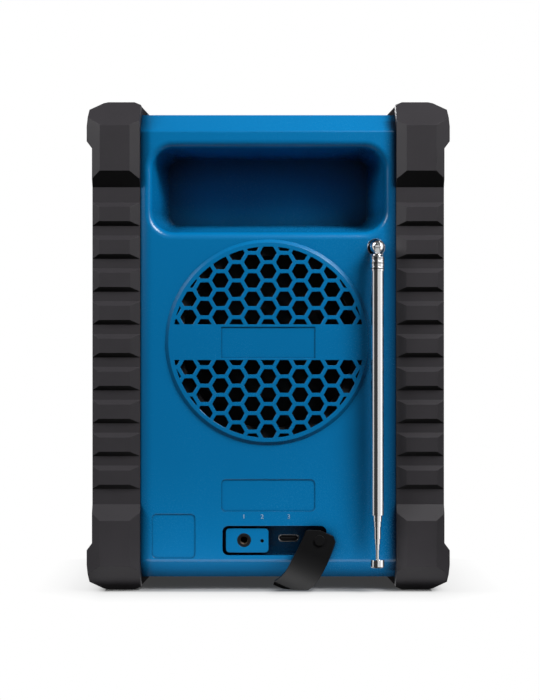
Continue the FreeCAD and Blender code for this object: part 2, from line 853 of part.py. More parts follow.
def vent_grille():
    middle = (0.0, D.vent_middle)
    plate = fuse(
        "vent_plate",
        [
            cone("vent_bevel", "y", middle, (D.vent_top_radius, D.vent_radius), (REAR - D.vent_proud, REAR)),
            cylinder("vent_plug", "y", middle, D.vent_hole_radius + 0.35, (REAR - 0.2, REAR + D.wall)),
        ],
    )
    field = cylinder("vent_field", "y", middle, D.vent_hole_radius - 0.6, (REAR - 2.0, REAR + D.wall + 1.0))
    bar = box(
        "vent_bar", (-60.0, 60.0), (REAR - 3.0, REAR + D.wall + 2.0),
        (D.vent_middle - D.vent_bar_half, D.vent_middle + D.vent_bar_half),
    )
    cells = cut("vent_cells", common("vent_round_cells", honeycomb(), field), bar)
    pierced = cut("vent_pierced", plate, cells)
    label = box(
        "bar_label", (-D.label_half_width, D.label_half_width),
        (REAR - D.vent_proud - 1.0, REAR - D.vent_proud + D.label_depth), (D.bar_label_bottom, D.bar_label_top),
    )
    return cut("vent_grille_body", pierced, label)


node(vent_grille(), "vent_grille")


# Bumpers: faceted rubber boots over the stepped ends
def prism(points, axis, low, high):
    """A straight solid over a closed outline. The outline's pairs are the two other axes, in order."""
    spots = []
    for a, b in points:
        a, b = float(a), float(b)
        spots.append({"x": Vector(low, a, b), "y": Vector(a, low, b), "z": Vector(a, b, low)}[axis])
    along = {"x": Vector(1, 0, 0), "y": Vector(0, 1, 0), "z": Vector(0, 0, 1)}[axis]
    return Part.Face(Part.makePolygon(spots + spots[:1])).extrude(along * (high - low))


def bumper_shape():
    """The right-hand boot, as one solid."""
    mid = D.housing_middle.number
    depth = D.housing_half_depth.number
    inner = D.housing_half_width.number
    side = D.bumper_side.number
    cap_side = D.cap_side.number
    slope = D.slope_depth.number
    valley = depth + D.valley_proud.number
    crown = depth + D.cap_proud.number
    # the body between the caps, a little outside the housing all round
    crease = D.crease_half_height.number + 0.4
    body_half = D.housing_half_height.number + 1.5
    quarter = [(valley, crease), (valley - slope, body_half)]
    upper = [(y, mid + z) for y, z in quarter] + [(-y, mid + z) for y, z in reversed(quarter)]
    lower = [(y, 2 * mid - z) for y, z in reversed(upper)]
    pieces = [prism(upper + lower, "x", inner, side)]
    # evenly spaced ribs on the rear face and on the front face
    base_half = D.rib_base.number / 2
    face_half = D.rib_face.number / 2
    near_side = inner + D.rib_inner_bevel.number
    far_side = side - D.rib_outer_bevel.number
    count = int(D.rib_count.number)
    for face in (-1, 1):
        for step in range(count):
            z = mid + (step - (count - 1) / 2) * D.rib_pitch.number
            levels = (
                (valley - 0.01, inner, side, base_half),
                (depth + D.rib_proud.number, near_side, far_side, face_half),
            )
            wires = [
                Part.makePolygon(
                    [
                        Vector(a, face * y, z + b)
                        for a, b in ((left, -half), (right, -half), (right, half), (left, half), (left, -half))
                    ]
                )
                for y, left, right, half in levels
            ]
            pieces.append(Part.makeLoft(wires, True, True))
    # cap at each end: three outlines, one per view, meet in its facets
    shoulder = crown - (crown - valley) / 2
    bevel = D.cap_side_bevel.number
    outer = cap_side + 0.4
    plan = [
        (inner, shoulder), (near_side, crown), (side - bevel, crown),
        (outer, crown - 0.57 * (outer - side + bevel)),
    ]
    plan = plan + [(a, -b) for a, b in reversed(plan)]
    top_depth = crown - D.cap_top_depth.number
    start = mid - D.cap_height.number
    lip_up = mid - D.ground_gap.number + D.lip_rise.number
    lip_end = inner + 2.8
    for end in (-1, 1):
        def up(value):
            return mid + end * value

        view = [
            (valley, up(mid - D.cap_slope_height.number)), (crown, up(mid - D.cap_face_height.number)),
            (crown, up(mid - D.cap_face_end.number)), (top_depth, up(mid)),
        ]
        view = view + [(-a, b) for a, b in reversed(view)]
        front = [
            (inner, up(start)), (side, up(start)), (side, up(mid - 20.8)), (cap_side, up(mid - 17.6)),
            (cap_side, up(mid - 11.3)), (cap_side - 0.9, up(mid - 3.7)), (cap_side - 6.7, up(mid - 0.5)),
            (cap_side - 8.7, up(mid)), (lip_end, up(mid)), (inner, up(lip_up)),
        ]
        low, high = sorted((up(start), up(mid + 1)))
        cap = prism(view, "x", inner, cap_side)
        cap = cap.common(prism(front, "y", -crown, crown))
        cap = cap.common(prism(plan, "z", low, high))
        pieces.append(cap)
        # the lip that wraps over the flat top and bottom of the housing
        flat = D.housing_half_height.number
        lip = [
            (inner - D.lip_reach.number, up(flat)), (inner, up(lip_up)), (lip_end, up(mid)), (lip_end, up(flat)),
        ]
        pieces.append(prism(lip, "y", 1.5 - (depth - slope), depth - slope - 1.5))
    boot = pieces[0].fuse(pieces[1:]).removeSplitter()
    slabs = (
        (D.housing_half_width, D.housing_half_height, D.crease_half_height, D.housing_half_depth),
        (D.end_half_width, END_HEIGHT, END_CREASE, END_FACE),
    )
    housing = []
    for width, half_height, crease_height, face in slabs:
        half_view = slab_points(1, half_height, crease_height, face, D.slope_depth)[2:]
        view = [(float(a), float(b)) for a, b in half_view]
        housing.append(prism(view + [(-a, b) for a, b in reversed(view)], "x", 0.0, float(width)))
    return boot.cut(housing).removeSplitter()


right_boot = bumper_shape()
for label, shape in (
    ("right_bumper", right_boot),
    ("left_bumper", right_boot.mirror(Vector(0, 0, 0), Vector(1, 0, 0))),
):
    boot = doc.addObject("Part::Feature", label)
    boot.Shape = shape
    node(boot, label)


# Port bay pieces: board, charging socket, audio jack, reset switch and flap
BOARD_FACE = BAY_BACK - D.board_gap
USB = (D.usb_across, D.usb_up)
JACK = (D.jack_across, D.jack_up)
RESET = (D.reset_across, D.reset_up)
BARREL_RADIUS = D.jack_nose_radius + 0.48


def slot_block(name, middle, width, height, span):
    """A flat oblong with round ends, lying along the ports' depth."""
    half = (width - height) / 2
    across, up = middle
    return fuse(
        name,
        [
            box(name + "_web", (across - half, across + half), span, (up - height / 2, up + height / 2)),
            cylinder(name + "_left", "y", (across - half, up), height / 2, span),
            cylinder(name + "_right", "y", (across + half, up), height / 2, span),
        ],
    )


def port_board():
    board = box(
        "port_board_blank", (D.bay_left - 1.0, D.bay_right + 3.0), (-BOARD_FACE, -BOARD_FACE + D.board_thick),
        (D.bay_bottom - 3.0, D.bay_top + 3.0),
    )
    deep = (-BOARD_FACE - 1.0, -BOARD_FACE + D.board_thick + 1.0)
    holes = [
        cylinder("port_board_jack_hole", "y", JACK, BARREL_RADIUS + D.fit, deep),
        cylinder("port_board_tether_hole", "y", (D.tether_across, D.tether_up), 2 * D.tether_radius, deep),
    ]
    return cut("port_board_body", board, holes)


def usb_socket():
    """The pressed shell with its mouth flush in the bay floor, and the tongue inside it."""
    front = -BAY_FLOOR + 0.3
    shell = slot_block("usb_shell", USB, D.usb_width, D.usb_height, (front, -BOARD_FACE))
    mouth = slot_block("usb_mouth", USB, D.usb_width - 0.7, D.usb_height - 0.7, (front - 1.0, -BOARD_FACE - 0.4))
    tongue = box(
        "usb_tongue", (D.usb_across - 3.3, D.usb_across + 3.3), (front + 0.8, -BOARD_FACE - 0.3),
        (D.usb_up - 0.35, D.usb_up + 0.35),
    )
    return fuse("usb_socket", [cut("usb_case", shell, mouth), tongue])


def aux_jack():
    nose = cylinder("jack_nose", "y", JACK, D.jack_nose_radius, (-ISLAND + 0.1, -BAY_BACK))
    collar = cylinder("jack_collar", "y", JACK, BARREL_RADIUS + 0.8, (-BAY_BACK, -BOARD_FACE))
    barrel = cylinder("jack_barrel", "y", JACK, BARREL_RADIUS, (-BOARD_FACE, -BOARD_FACE + 8.0))
    bore = cylinder("jack_hollow", "y", JACK, D.jack_bore_radius, (-ISLAND - 1.0, -BOARD_FACE + 6.5))
    return cut("aux_jack_body", fuse("jack_solid", [nose, collar, barrel]), bore)


def reset_plunger():
    pin = cylinder("reset_pin", "y", RESET, D.reset_radius, (-ISLAND + 1.2, -BAY_BACK + 0.1))
    collar = cylinder("reset_collar", "y", RESET, as_size(1.4), (-BAY_BACK + 0.05, -BAY_BACK + 0.7))
    return fuse("reset_plunger_body", [pin, collar])


def reset_switch():
    return box(
        "reset_switch_body", (D.reset_across - 2.0, D.reset_across + 2.0), (-BAY_BACK + 1.0, -BOARD_FACE),
        (D.reset_up - 2.0, D.reset_up + 2.0),
    )


# the hanging cover in the rear view, in parts of its width, from its top centre
FLAP_LEFT = ((-0.42, 0.19), (-0.62, -0.28), (-0.87, -0.75), (-1.11, -1.13), (-1.42, -1.34))
FLAP_END = ((-1.51, -1.57), (-0.37, -1.66), (-0.17, -1.54))
FLAP_RIGHT = ((-0.17, -1.54), (0.07, -1.22), (0.3, -0.78), (0.52, -0.19))
FLAP_TOP = ((0.45, -0.01), (0.02, 0.18))


def flap_shape():
    """The rubber cover as it hangs open: a strap that curls out at its end, and its tether."""
    width = D.flap_width.number
    top = Vector(D.flap_across.number, 0, D.flap_up.number)

    def spots(rows):
        return [top + Vector(a * width, 0, b * width) for a, b in rows]

    def smooth(rows):
        curve = Part.BSplineCurve()
        curve.interpolate(spots(rows))
        return curve.toShape()

    left, end, right, upper = spots(FLAP_LEFT), spots(FLAP_END), spots(FLAP_RIGHT), spots(FLAP_TOP)
    edges = [
        smooth(FLAP_LEFT), Part.makeLine(left[-1], end[0]), Part.makeLine(end[0], end[1]),
        Part.makeLine(end[1], end[2]), smooth(FLAP_RIGHT), Part.makeLine(right[-1], upper[0]),
        Part.makeLine(upper[0], upper[1]), Part.makeLine(upper[1], left[0]),
    ]
    blank = Part.Face(Part.Wire(edges)).extrude(Vector(0, -2 * D.housing_half_depth.number, 0))
    corners = [
        e for e in blank.Edges
        if e.BoundBox.YLength > width and min((e.Vertexes[0].Point - Vector(q.x, 0, q.z)).Length for q in (left[0], end[0])) < 0.01
    ]
    blank = blank.makeFillet(D.flap_corner.number, corners)
    # the strap from the side: straight down from its top, then bending out from the panel
    hang = D.flap_hang.number
    bend = D.flap_bend.number
    thick = D.flap_thick.number
    gap = D.flap_gap.number
    curl = math.radians(D.flap_curl.number)

    def arc(radius, out):
        turns = (0.0, curl / 2, curl)
        ends = [Vector(hang + radius * math.sin(a), 0, out + radius * (1 - math.cos(a))) for a in turns]
        return Part.Arc(*ends).toShape(), ends[0], ends[-1]

    (far, far_start, far_end), (close, close_start, close_end) = arc(bend + thick, gap), arc(bend, gap + thick)
    far_top = Vector(-width / 2, 0, gap)
    close_top = Vector(-width / 2, 0, gap + thick)
    side = Part.Wire(
        [
            Part.makeLine(far_top, far_start), far, Part.makeLine(far_end, close_end), close,
            Part.makeLine(close_start, close_top), Part.makeLine(close_top, far_top),
        ]
    )
    strap = Part.Face(side).extrude(Vector(0, 4 * width, 0))
    strap.translate(Vector(0, -2 * width, 0))
    lean = math.radians(D.flap_lean.number)
    along = Vector(-math.sin(lean), 0, -math.cos(lean))
    out = Vector(0, -1, 0)
    wide = out.cross(along)
    strap.Placement = FreeCAD.Placement(
        FreeCAD.Matrix(
            along.x, wide.x, out.x, top.x,
            along.y, wide.y, out.y, REAR.number,
            along.z, wide.z, out.z, top.z,
            0, 0, 0, 1,
        )
    ).multiply(strap.Placement)
    strap = strap.common(blank)
    spot = (D.tether_across.number, D.tether_up.number)
    root = gap + thick + 0.6
    tether = Part.makeCylinder(
        D.tether_radius.number, root + D.bay_depth.number + D.skin.number + 0.1,
        Vector(spot[0], REAR.number - root, spot[1]), Vector(0, 1, 0),
    )
    button = Part.makeCylinder(3.6, 1.0, Vector(spot[0], 0.1 - BAY_BACK.number, spot[1]), Vector(0, 1, 0))
    return strap.fuse([tether, button]).removeSplitter()


node(port_board(), "port_board")
node(usb_socket(), "usb_c_socket")
node(aux_jack(), "aux_jack")
node(reset_switch(), "reset_switch")
node(reset_plunger(), "reset_plunger")
flap = doc.addObject("Part::Feature", "port_flap")
flap.Shape = flap_shape()
node(flap, "port_flap")

# Telescopic mast: stud with a ball, forked tongue, and seven nested sections that hang down at rest
MAST_Y = REAR - D.mast_out
MAST = (D.mast_across, MAST_Y)
MAST_PLACE = (D.mast_across, D.mast_up)
PIN_LINE = (MAST_Y, D.mast_up)
FERRULE_TOP = D.mast_up - D.ferrule_top
FERRULE_LOW = FERRULE_TOP - D.ferrule_length
SECTIONS = (
    # outer radius, bore radius, height of the lower end over the housing's underside
    ("antenna_tube_1", 2.72, 2.05, 28.3),
    ("antenna_tube_2", 2.0, 1.77, 25.7),
    ("antenna_tube_3", 1.73, 1.52, 23.4),
    ("antenna_tube_4", 1.48, 1.25, 18.3),
    ("antenna_tube_5", 1.21, 0.98, 16.0),
    ("antenna_tube_6", 0.94, 0.75, 13.7),
    ("antenna_rod", 0.71, 0.0, 9.5),
)
FERRULE_RINGS = (
    # start and end from the sleeve's lower end, and how far the ring stands back
    (0.0, 1.6, 0.0),
    (1.6, 2.0, 0.15),
    (2.0, 4.1, 0.0),
    (4.1, 4.5, 0.15),
    (4.5, 6.0, 0.0),
)


def section_low(number):
    return D.ground_gap + SECTIONS[number][3]


MAST_TRAVEL = FERRULE_LOW - section_low(0) - D.mast_short


def antenna_stud():
    ball = doc.addObject("Part::Sphere", "antenna_ball")
    bind(ball, "Radius", D.ball_radius)
    bind(ball, "Placement.Base.x", D.mast_across)
    bind(ball, "Placement.Base.y", MAST_Y)
    bind(ball, "Placement.Base.z", D.mast_up)
    stem = cylinder("stud_stem", "y", MAST_PLACE, D.stud_radius, (MAST_Y + 1.8, REAR + 11.0))
    neck = cylinder("stud_neck", "y", MAST_PLACE, as_size(2.7), (MAST_Y + 2.2, REAR + D.well_depth - 0.1))
    half = D.tongue_half + 0.06
    slot = box(
        "stud_slot", (D.mast_across - half, D.mast_across + half),
        (MAST_Y - 4.0, MAST_Y + 1.7), (D.mast_up - 4.0, D.mast_up + 1.75),
    )
    bore = cylinder("stud_pin_bore", "x", PIN_LINE, D.pin_radius, (D.mast_across - 4.0, D.mast_across + 4.0))
    return cut("antenna_stud_body", fuse("stud_solid", [ball, stem, neck]), [slot, bore])


def antenna_pin():
    half = D.ball_radius - 0.25
    return cylinder("antenna_pin_body", "x", PIN_LINE, D.pin_radius, (D.mast_across - half, D.mast_across + half))


def antenna_nut():
    """The retaining ring behind the shell's boss, on the stud's inner end."""
    seat = REAR + D.wall + D.boss_height + D.fit
    return ring("antenna_nut_body", "y", MAST_PLACE, as_size(3.6), D.stud_radius, (seat, seat + 1.95))


def antenna_ferrule():
    """Flat tongue, flared neck and the ringed sleeve that holds the first tube."""
    across = (D.mast_across - D.tongue_half, D.mast_across + D.tongue_half)
    eye = cylinder("tongue_eye", "x", PIN_LINE, as_size(1.55), across)
    bar = box("tongue_bar", across, (MAST_Y - 1.3, MAST_Y + 1.3), (FERRULE_TOP, D.mast_up))
    neck = cone(
        "ferrule_neck", "z", MAST, (D.ferrule_radius - 0.25, as_size(1.1)), (FERRULE_TOP, FERRULE_TOP + 1.3)
    )
    parts = [eye, bar, neck]
    for number, (start, end, back) in enumerate(FERRULE_RINGS):
        span = (FERRULE_LOW + start, FERRULE_LOW + end)
        parts.append(cylinder("ferrule_ring_%d" % number, "z", MAST, D.ferrule_radius - back, span))
    eyelet = cylinder(
        "tongue_bore", "x", PIN_LINE, D.pin_radius + D.fit, (D.mast_across - 3.0, D.mast_across + 3.0)
    )
    return cut("antenna_ferrule_body", fuse("ferrule_solid", parts), eyelet)


def antenna_section(number):
    name, outer, bore, _ = SECTIONS[number]
    high = FERRULE_LOW if number == 0 else section_low(number - 1) + MAST_TRAVEL + D.mast_grip
    span = (section_low(number), high)
    if not bore:
        return cylinder(name + "_body", "z", MAST, as_size(outer), span)
    return ring(name + "_body", "z", MAST, as_size(outer), as_size(bore), span)


def antenna_tip():
    high = section_low(-1)
    low = high - D.tip_length
    radius = D.ferrule_radius
    knob = cylinder("tip_knob", "z", MAST, radius, (low + 0.5, high))
    nose = cone("tip_nose", "z", MAST, (radius - 0.5, radius), (low, low + 0.5))
    return fuse("antenna_tip_body", [knob, nose])


node(antenna_stud(), "antenna_stud")
node(antenna_nut(), "antenna_nut")
node(antenna_pin(), "antenna_hinge_pin")
node(antenna_ferrule(), "antenna_ferrule")
for number in range(len(SECTIONS)):
    node(antenna_section(number), SECTIONS[number][0])
node(antenna_tip(), "antenna_tip")


# Front controls: two turning and pressing knobs, six keys, their board and the window
def controls():
    case_end = KEY_BOARD + 7.0
    shaft_end = FRONT + D.knob_proud - 2.0
    for side, label in ((-1, "volume"), (1, "tuning")):
        middle = (side * D.knob_across, D.control_up)
        case = fuse(
            label + "_encoder_solid",
            [
                box(
                    label + "_encoder_block", (middle[0] - 6.0, middle[0] + 6.0), (KEY_BOARD, case_end),
                    (D.control_up - 6.0, D.control_up + 6.0),
                ),
                cylinder(label + "_encoder_neck", "y", middle, D.neck_radius, (case_end, FRONT)),
            ],
        )
        hollow = cylinder(
            label + "_encoder_hollow", "y", middle, D.shaft_radius + D.fit, (KEY_BOARD + 0.3, FRONT + 1.0)
        )
        node(cut(label + "_encoder_body", case, hollow), label + "_encoder")
        pin = cylinder(
            label + "_press_pin_body", "y", middle, D.shaft_radius - 0.1, (KEY_BOARD + 1.0, KEY_BOARD + 2.0)
        )
        node(pin, label + "_press_pin")
        shaft = cylinder(label + "_shaft_body", "y", middle, D.shaft_radius, (KEY_BOARD + 2.0, shaft_end))
        node(shaft, label + "_shaft")
        skirt = cylinder(label + "_knob_skirt", "y", middle, D.knob_radius, (FRONT + 0.7, FRONT + 3.2))
        grip = cone(
            label + "_knob_grip", "y", middle, (D.knob_radius - 1.2, D.knob_radius - 2.0),
            (FRONT + 3.2, FRONT + D.knob_proud),
        )
        bore = cylinder(label + "_knob_bore", "y", middle, D.shaft_radius, (FRONT - 1.0, shaft_end))
        solid = fuse(label + "_knob_solid", [skirt, grip])
        node(cut(label + "_knob_body", solid, bore), label + "_knob")


SWITCH_BASE = KEY_BOARD + 1.6
SWITCH_DOME = SWITCH_BASE + 0.4


def key(number):
    across, up = BUTTONS[number]
    name = "button_%d" % (number + 1)
    half_w = D.button_width / 2
    half_h = D.button_height / 2
    lip = 0.9
    cap = round_block(
        name + "_cap", (across - half_w, across + half_w), (INNER_FACE - 0.3, FRONT + 1.6),
        (up - half_h, up + half_h), D.button_corner,
    )
    flange = box(
        name + "_flange", (across - half_w - lip, across + half_w + lip), (INNER_FACE - 1.1, INNER_FACE - 0.15),
        (up - half_h - lip, up + half_h + lip),
    )
    stem = cylinder(name + "_stem", "y", (across, up), as_size(1.5), (SWITCH_DOME + 0.7, INNER_FACE - 0.5))
    return fuse(name + "_body", [cap, flange, stem])


def key_switches():
    solids = []
    for number, (across, up) in enumerate(BUTTONS):
        name = "switch_%d" % (number + 1)
        base = box(name + "_base", (across - 3.0, across + 3.0), (KEY_BOARD, SWITCH_BASE), (up - 3.0, up + 3.0))
        dome = cylinder(name + "_dome", "y", (across, up), as_size(1.7), (SWITCH_BASE, SWITCH_DOME))
        solids.append(fuse(name, [base, dome]))
    return group("key_switches_body", solids)


def board_with_holes(name, half, face, up, spots):
    """A board whose front face lies at a depth, with a screw hole over each post."""
    back = face - D.board_thick
    blank = box(name + "_blank", (-half, half), (back, face), up)
    holes = [
        cylinder("%s_hole_%d" % (name, i), "y", spot, D.small_shank + D.fit, (back - 1.0, face + 1.0))
        for i, spot in enumerate(spots)
    ]
    return cut(name + "_body", blank, holes)


def screw(name, spot, seat, way, sizes):
    """A screw whose head bears on a face; it points along +Y when way is 1, or along -Y."""
    head_radius, head_height, shank_radius, reach = sizes
    head = (seat - head_height, seat) if way > 0 else (seat, seat + head_height)
    shank = (seat, seat + reach) if way > 0 else (seat - reach, seat)
    return fuse(
        name,
        [
            cylinder(name + "_head", "y", spot, head_radius, head),
            cylinder(name + "_shank", "y", spot, shank_radius, shank),
        ],
    )


controls()
for number in range(len(BUTTONS)):
    node(key(number), "button_%d" % (number + 1))
node(key_switches(), "key_switches")
key_rows = (D.control_up - 17.5, D.control_up + 19.0)
node(board_with_holes("key_board", D.housing_half_width - 7.8, KEY_BOARD, key_rows, KEY_POSTS), "key_board")
main_rows = (D.control_up - 24.0, D.control_up + 20.0)
node(board_with_holes("main_board", D.housing_half_width - 0.8, MAIN_BOARD, main_rows, MAIN_POSTS), "main_board")
node(
    round_block(
        "display_window_body", (-D.window_half_width, D.window_half_width), (FRONT - D.window_depth, FRONT),
        (D.window_bottom, D.window_top), D.window_corner,
    ),
    "display_window",
)
frame_side = D.window_corner / 2
node(
    box(
        "display_module_body", (frame_side - D.window_half_width, D.window_half_width - frame_side),
        (INNER_FACE - 4.5, INNER_FACE), (D.window_bottom + frame_side, D.window_top - frame_side),
    ),
    "display_module",
)

# Loudspeaker behind the front grille
SPEAKER = (0.0, D.speaker_up)
FLANGE_BACK = INNER_FACE - D.flange_thick
BASKET_BACK = INNER_FACE - 22.5
FRAME_BACK = INNER_FACE - D.frame_depth
MAGNET_BACK = FRAME_BACK - D.magnet_height
CONE_NECK = BASKET_BACK + 5.0
CONE_LIP = CONE_NECK + 12.0
ROLL_FACE = CONE_LIP + 0.4
ROLL_BACK = ROLL_FACE - D.roll_thick
COIL_SLOT = D.coil_radius + 0.5
ROLL_OUTER = D.speaker_opening - 3.2
ROLL_INNER = ROLL_OUTER - 5.0


def speaker_grille():
    radius = D.front_grille_radius
    plate = fuse(
        "front_plate",
        [
            cone("front_bevel", "y", SPEAKER, (radius, radius - D.grille_bevel), (FRONT, FRONT + D.grille_proud)),
            cylinder("front_plug", "y", SPEAKER, D.speaker_opening - D.fit, (INNER_FACE, FRONT + 0.2)),
        ],
    )
    deep = (INNER_FACE - 1.0, FRONT + 4.0)
    half = D.slot_height / 2
    slots = []
    for step in range(-5, 6):
        up = D.speaker_up + step * D.slot_pitch
        slots.append(box("slot_%d" % (step + 5), (-radius, radius), deep, (up - half, up + half)))
    field = cylinder("front_field", "y", SPEAKER, D.speaker_opening - 2.0, deep)
    rib = box("front_rib", (-1.5, 1.5), deep, (D.speaker_up - radius, D.speaker_up + radius))
    open_part = cut("front_open", common("front_slots", fuse("slot_stack", slots), field), rib)
    return cut("speaker_grille_body", plate, open_part)


def thin_cone(name, middle, radii, span, thick):
    outer = cone(name + "_outer", "y", middle, radii, span)
    inner = cone(name + "_inner", "y", middle, tuple(r - thick for r in radii), span)
    return cut(name, outer, inner)


def speaker_frame():
    basket_top = D.speaker_opening + 2.4
    neck = D.magnet_radius + 1.5
    flange = ring("frame_flange", "y", SPEAKER, D.speaker_flange, ROLL_OUTER + 0.3, (FLANGE_BACK, INNER_FACE))
    basket = thin_cone("frame_basket", SPEAKER, (neck, basket_top), (BASKET_BACK, FLANGE_BACK), 2.0)
    plate = ring("frame_plate", "y", SPEAKER, neck, COIL_SLOT + 0.2, (FRAME_BACK, BASKET_BACK))
    ledge = ring("frame_ledge", "y", SPEAKER, D.speaker_opening, ROLL_OUTER - 1.1, (ROLL_FACE, ROLL_FACE + 1.2))
    windows = []
    for i in range(4):
        window = doc.addObject("Part::Box", "frame_window_%d" % i)
        window.Length, window.Width, window.Height = (14.0, 13.0, D.speaker_flange.number)
        turn = FreeCAD.Placement(Vector(0, 0, D.speaker_up.number), Rotation(Vector(0, 1, 0), 90.0 * i))
        start = Vector(-7.0, BASKET_BACK.number + 3.0, D.magnet_radius.number - 4.5)
        window.Placement = turn.multiply(FreeCAD.Placement(start, Rotation()))
        windows.append(window)
    basket = cut("frame_basket_open", basket, windows)
    holes = [
        cylinder("frame_hole_%d" % i, "y", spot, D.small_shank, (FLANGE_BACK - 1.0, INNER_FACE + 1.0))
        for i, spot in enumerate(SPEAKER_SCREWS)
    ]
    return cut("speaker_frame_body", fuse("speaker_frame_solid", [flange, basket, plate, ledge]), holes)


def speaker_magnet():
    block = cylinder("magnet_block", "y", SPEAKER, D.magnet_radius, (MAGNET_BACK, FRAME_BACK))
    gap = ring("magnet_gap", "y", SPEAKER, COIL_SLOT, D.coil_bore - 0.5, (MAGNET_BACK + 4.0, FRAME_BACK + 4.0))
    return cut("speaker_magnet_body", block, gap)


def speaker_cone():
    top = ROLL_INNER - 1.0
    cap = CONE_NECK + D.cone_thick
    neck = D.coil_radius + 0.1
    return fuse(
        "speaker_cone_body",
        [
            thin_cone("cone_paper", SPEAKER, (neck, top), (CONE_NECK, CONE_LIP), D.cone_thick.number),
            cylinder("cone_cap", "y", SPEAKER, neck, (CONE_NECK, cap)),
            ring("cone_edge", "y", SPEAKER, ROLL_INNER, top - 0.9, (CONE_LIP - 0.8, ROLL_FACE)),
        ],
    )


node(speaker_grille(), "speaker_grille")
node(speaker_frame(), "speaker_frame")
node(speaker_magnet(), "speaker_magnet")
coil_span = (MAGNET_BACK + 7.0, CONE_NECK)
node(ring("voice_coil_body", "y", SPEAKER, D.coil_radius, D.coil_bore, coil_span), "voice_coil")
node(speaker_cone(), "speaker_cone")
roll_span = (ROLL_BACK, ROLL_FACE)
node(ring("speaker_surround_body", "y", SPEAKER, ROLL_OUTER, ROLL_INNER, roll_span), "speaker_surround")

# Passive radiator behind the round vent
RADIATOR = (0.0, D.vent_middle)
RADIATOR_SEAT = -INNER_FACE
RADIATOR_ROLL = (REAR + 8.2, REAR + 8.2 + D.roll_thick)


def radiator_frame():
    seat = RADIATOR_SEAT
    outer = D.vent_hole_radius + 2.1
    hoop = ring("radiator_hoop", "y", RADIATOR, outer, D.radiator_radius, (seat, seat + 9.0))
    ears = [
        cylinder("radiator_ear_%d" % i, "y", spot, D.post_radius, (seat, seat + 3.0))
        for i, spot in enumerate(RADIATOR_SCREWS)
    ]
    bore = cylinder("radiator_open", "y", RADIATOR, D.radiator_radius, (seat - 1.0, seat + 11.0))
    holes = [
        cylinder("radiator_hole_%d" % i, "y", spot, D.small_shank, (seat - 1.0, seat + 5.0))
        for i, spot in enumerate(RADIATOR_SCREWS)
    ]
    return cut("radiator_frame_body", fuse("radiator_solid", [hoop] + ears), [bore] + holes)


node(radiator_frame(), "radiator_frame")
node(
    ring("radiator_surround_body", "y", RADIATOR, D.radiator_radius, D.radiator_plate_radius, RADIATOR_ROLL),
    "radiator_surround",
)
plate_span = (REAR + 7.0, REAR + 10.0)
node(cylinder("radiator_plate_body", "y", RADIATOR, D.radiator_plate_radius, plate_span), "radiator_plate")


# Battery: two cells in a cradle on the floor of the housing
def battery():
    up = FLOOR + D.cell_above_floor
    half = D.cell_length / 2
    middle_y = -6.0
    reach_y = D.cell_spacing / 2 + D.cell_radius + 1.0
    cradle = box(
        "cradle_block", (-half - 3.5, half + 3.5), (middle_y - reach_y, middle_y + reach_y), (FLOOR, up - 3.0)
    )
    cells = []
    nests = []
    for number, side in enumerate((-1, 1)):
        middle = (middle_y + side * D.cell_spacing / 2, up)
        cells.append(cylinder("cell_%d" % (number + 1), "x", middle, D.cell_radius, (-half, half)))
        nests.append(cylinder("nest_%d" % (number + 1), "x", middle, D.cell_radius, (-half - 0.5, half + 0.5)))
    node(cut("battery_cradle_body", cradle, nests), "battery_cradle")
    node(group("battery_cells_body", cells), "battery_cells")


battery()

# Screws: long ones clamp the two shells, small ones hold boards, loudspeaker and radiator
long_sizes = (D.screw_head, as_size(3.0), D.screw_shank, D.screw_reach)
long_screws = [
    screw("long_screw_%d" % i, spot, -D.screw_seat, 1, long_sizes) for i, spot in enumerate(POSTS)
]
node(group("shell_screws_body", long_screws), "shell_screws")


def small_screws(name, rows):
    """Screws of one thickness, from rows of places, seat, way and reach."""
    solids = []
    for spots, seat, way, reach in rows:
        for spot in spots:
            sizes = (D.small_head, D.small_head_height, D.small_shank, as_size(reach))
            solids.append(screw("%s_%d" % (name, len(solids)), spot, seat, way, sizes))
    node(group(name + "s_body", solids), name + "s")


small_screws(
    "board_screw",
    ((MAIN_POSTS, MAIN_BOARD - D.board_thick, 1, 7.0), (KEY_POSTS, KEY_BOARD - D.board_thick, 1, 7.0)),
)
small_screws(
    "driver_screw",
    ((SPEAKER_SCREWS, FLANGE_BACK, 1, 3.2), (RADIATOR_SCREWS, RADIATOR_SEAT + 3.0, -1, 3.8)),
)

# Every object must be sound before anything is written
doc.recompute()
for thing in doc.Objects:
    if "Invalid" in thing.State or "Error" in thing.State:
        raise RuntimeError("%s did not build: %s" % (thing.Name, thing.State))
for thing in NODES:
    if thing.Shape.isNull() or not thing.Shape.isValid():
        raise RuntimeError("%s has no sound shape" % thing.Label)
os.makedirs("parts", exist_ok=True)
for thing in NODES:
    thing.Shape.exportStep(os.path.join("parts", thing.Label + ".step"))
    bounds = thing.Shape.BoundBox
    print(
        "%-20s %d solids %9.1f mm3  x %.1f..%.1f  y %.1f..%.1f  z %.1f..%.1f"
        % (
            thing.Label, len(thing.Shape.Solids), thing.Shape.Volume,
            bounds.XMin, bounds.XMax, bounds.YMin, bounds.YMax, bounds.ZMin, bounds.ZMax,
        )
    )
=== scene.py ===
# %% [markdown]
# # A jobsite radio, seen from behind
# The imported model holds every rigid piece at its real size. This script dresses those pieces:
# it gives each one a finish, adds the small things that only show up close, and sets up a plain
# studio. Everything is in metres, in the model's own frame: -Y is the rear side that the
# photograph shows, +X is to the right in that view, and +Z is up.

# %% Load the frame
import json
import math

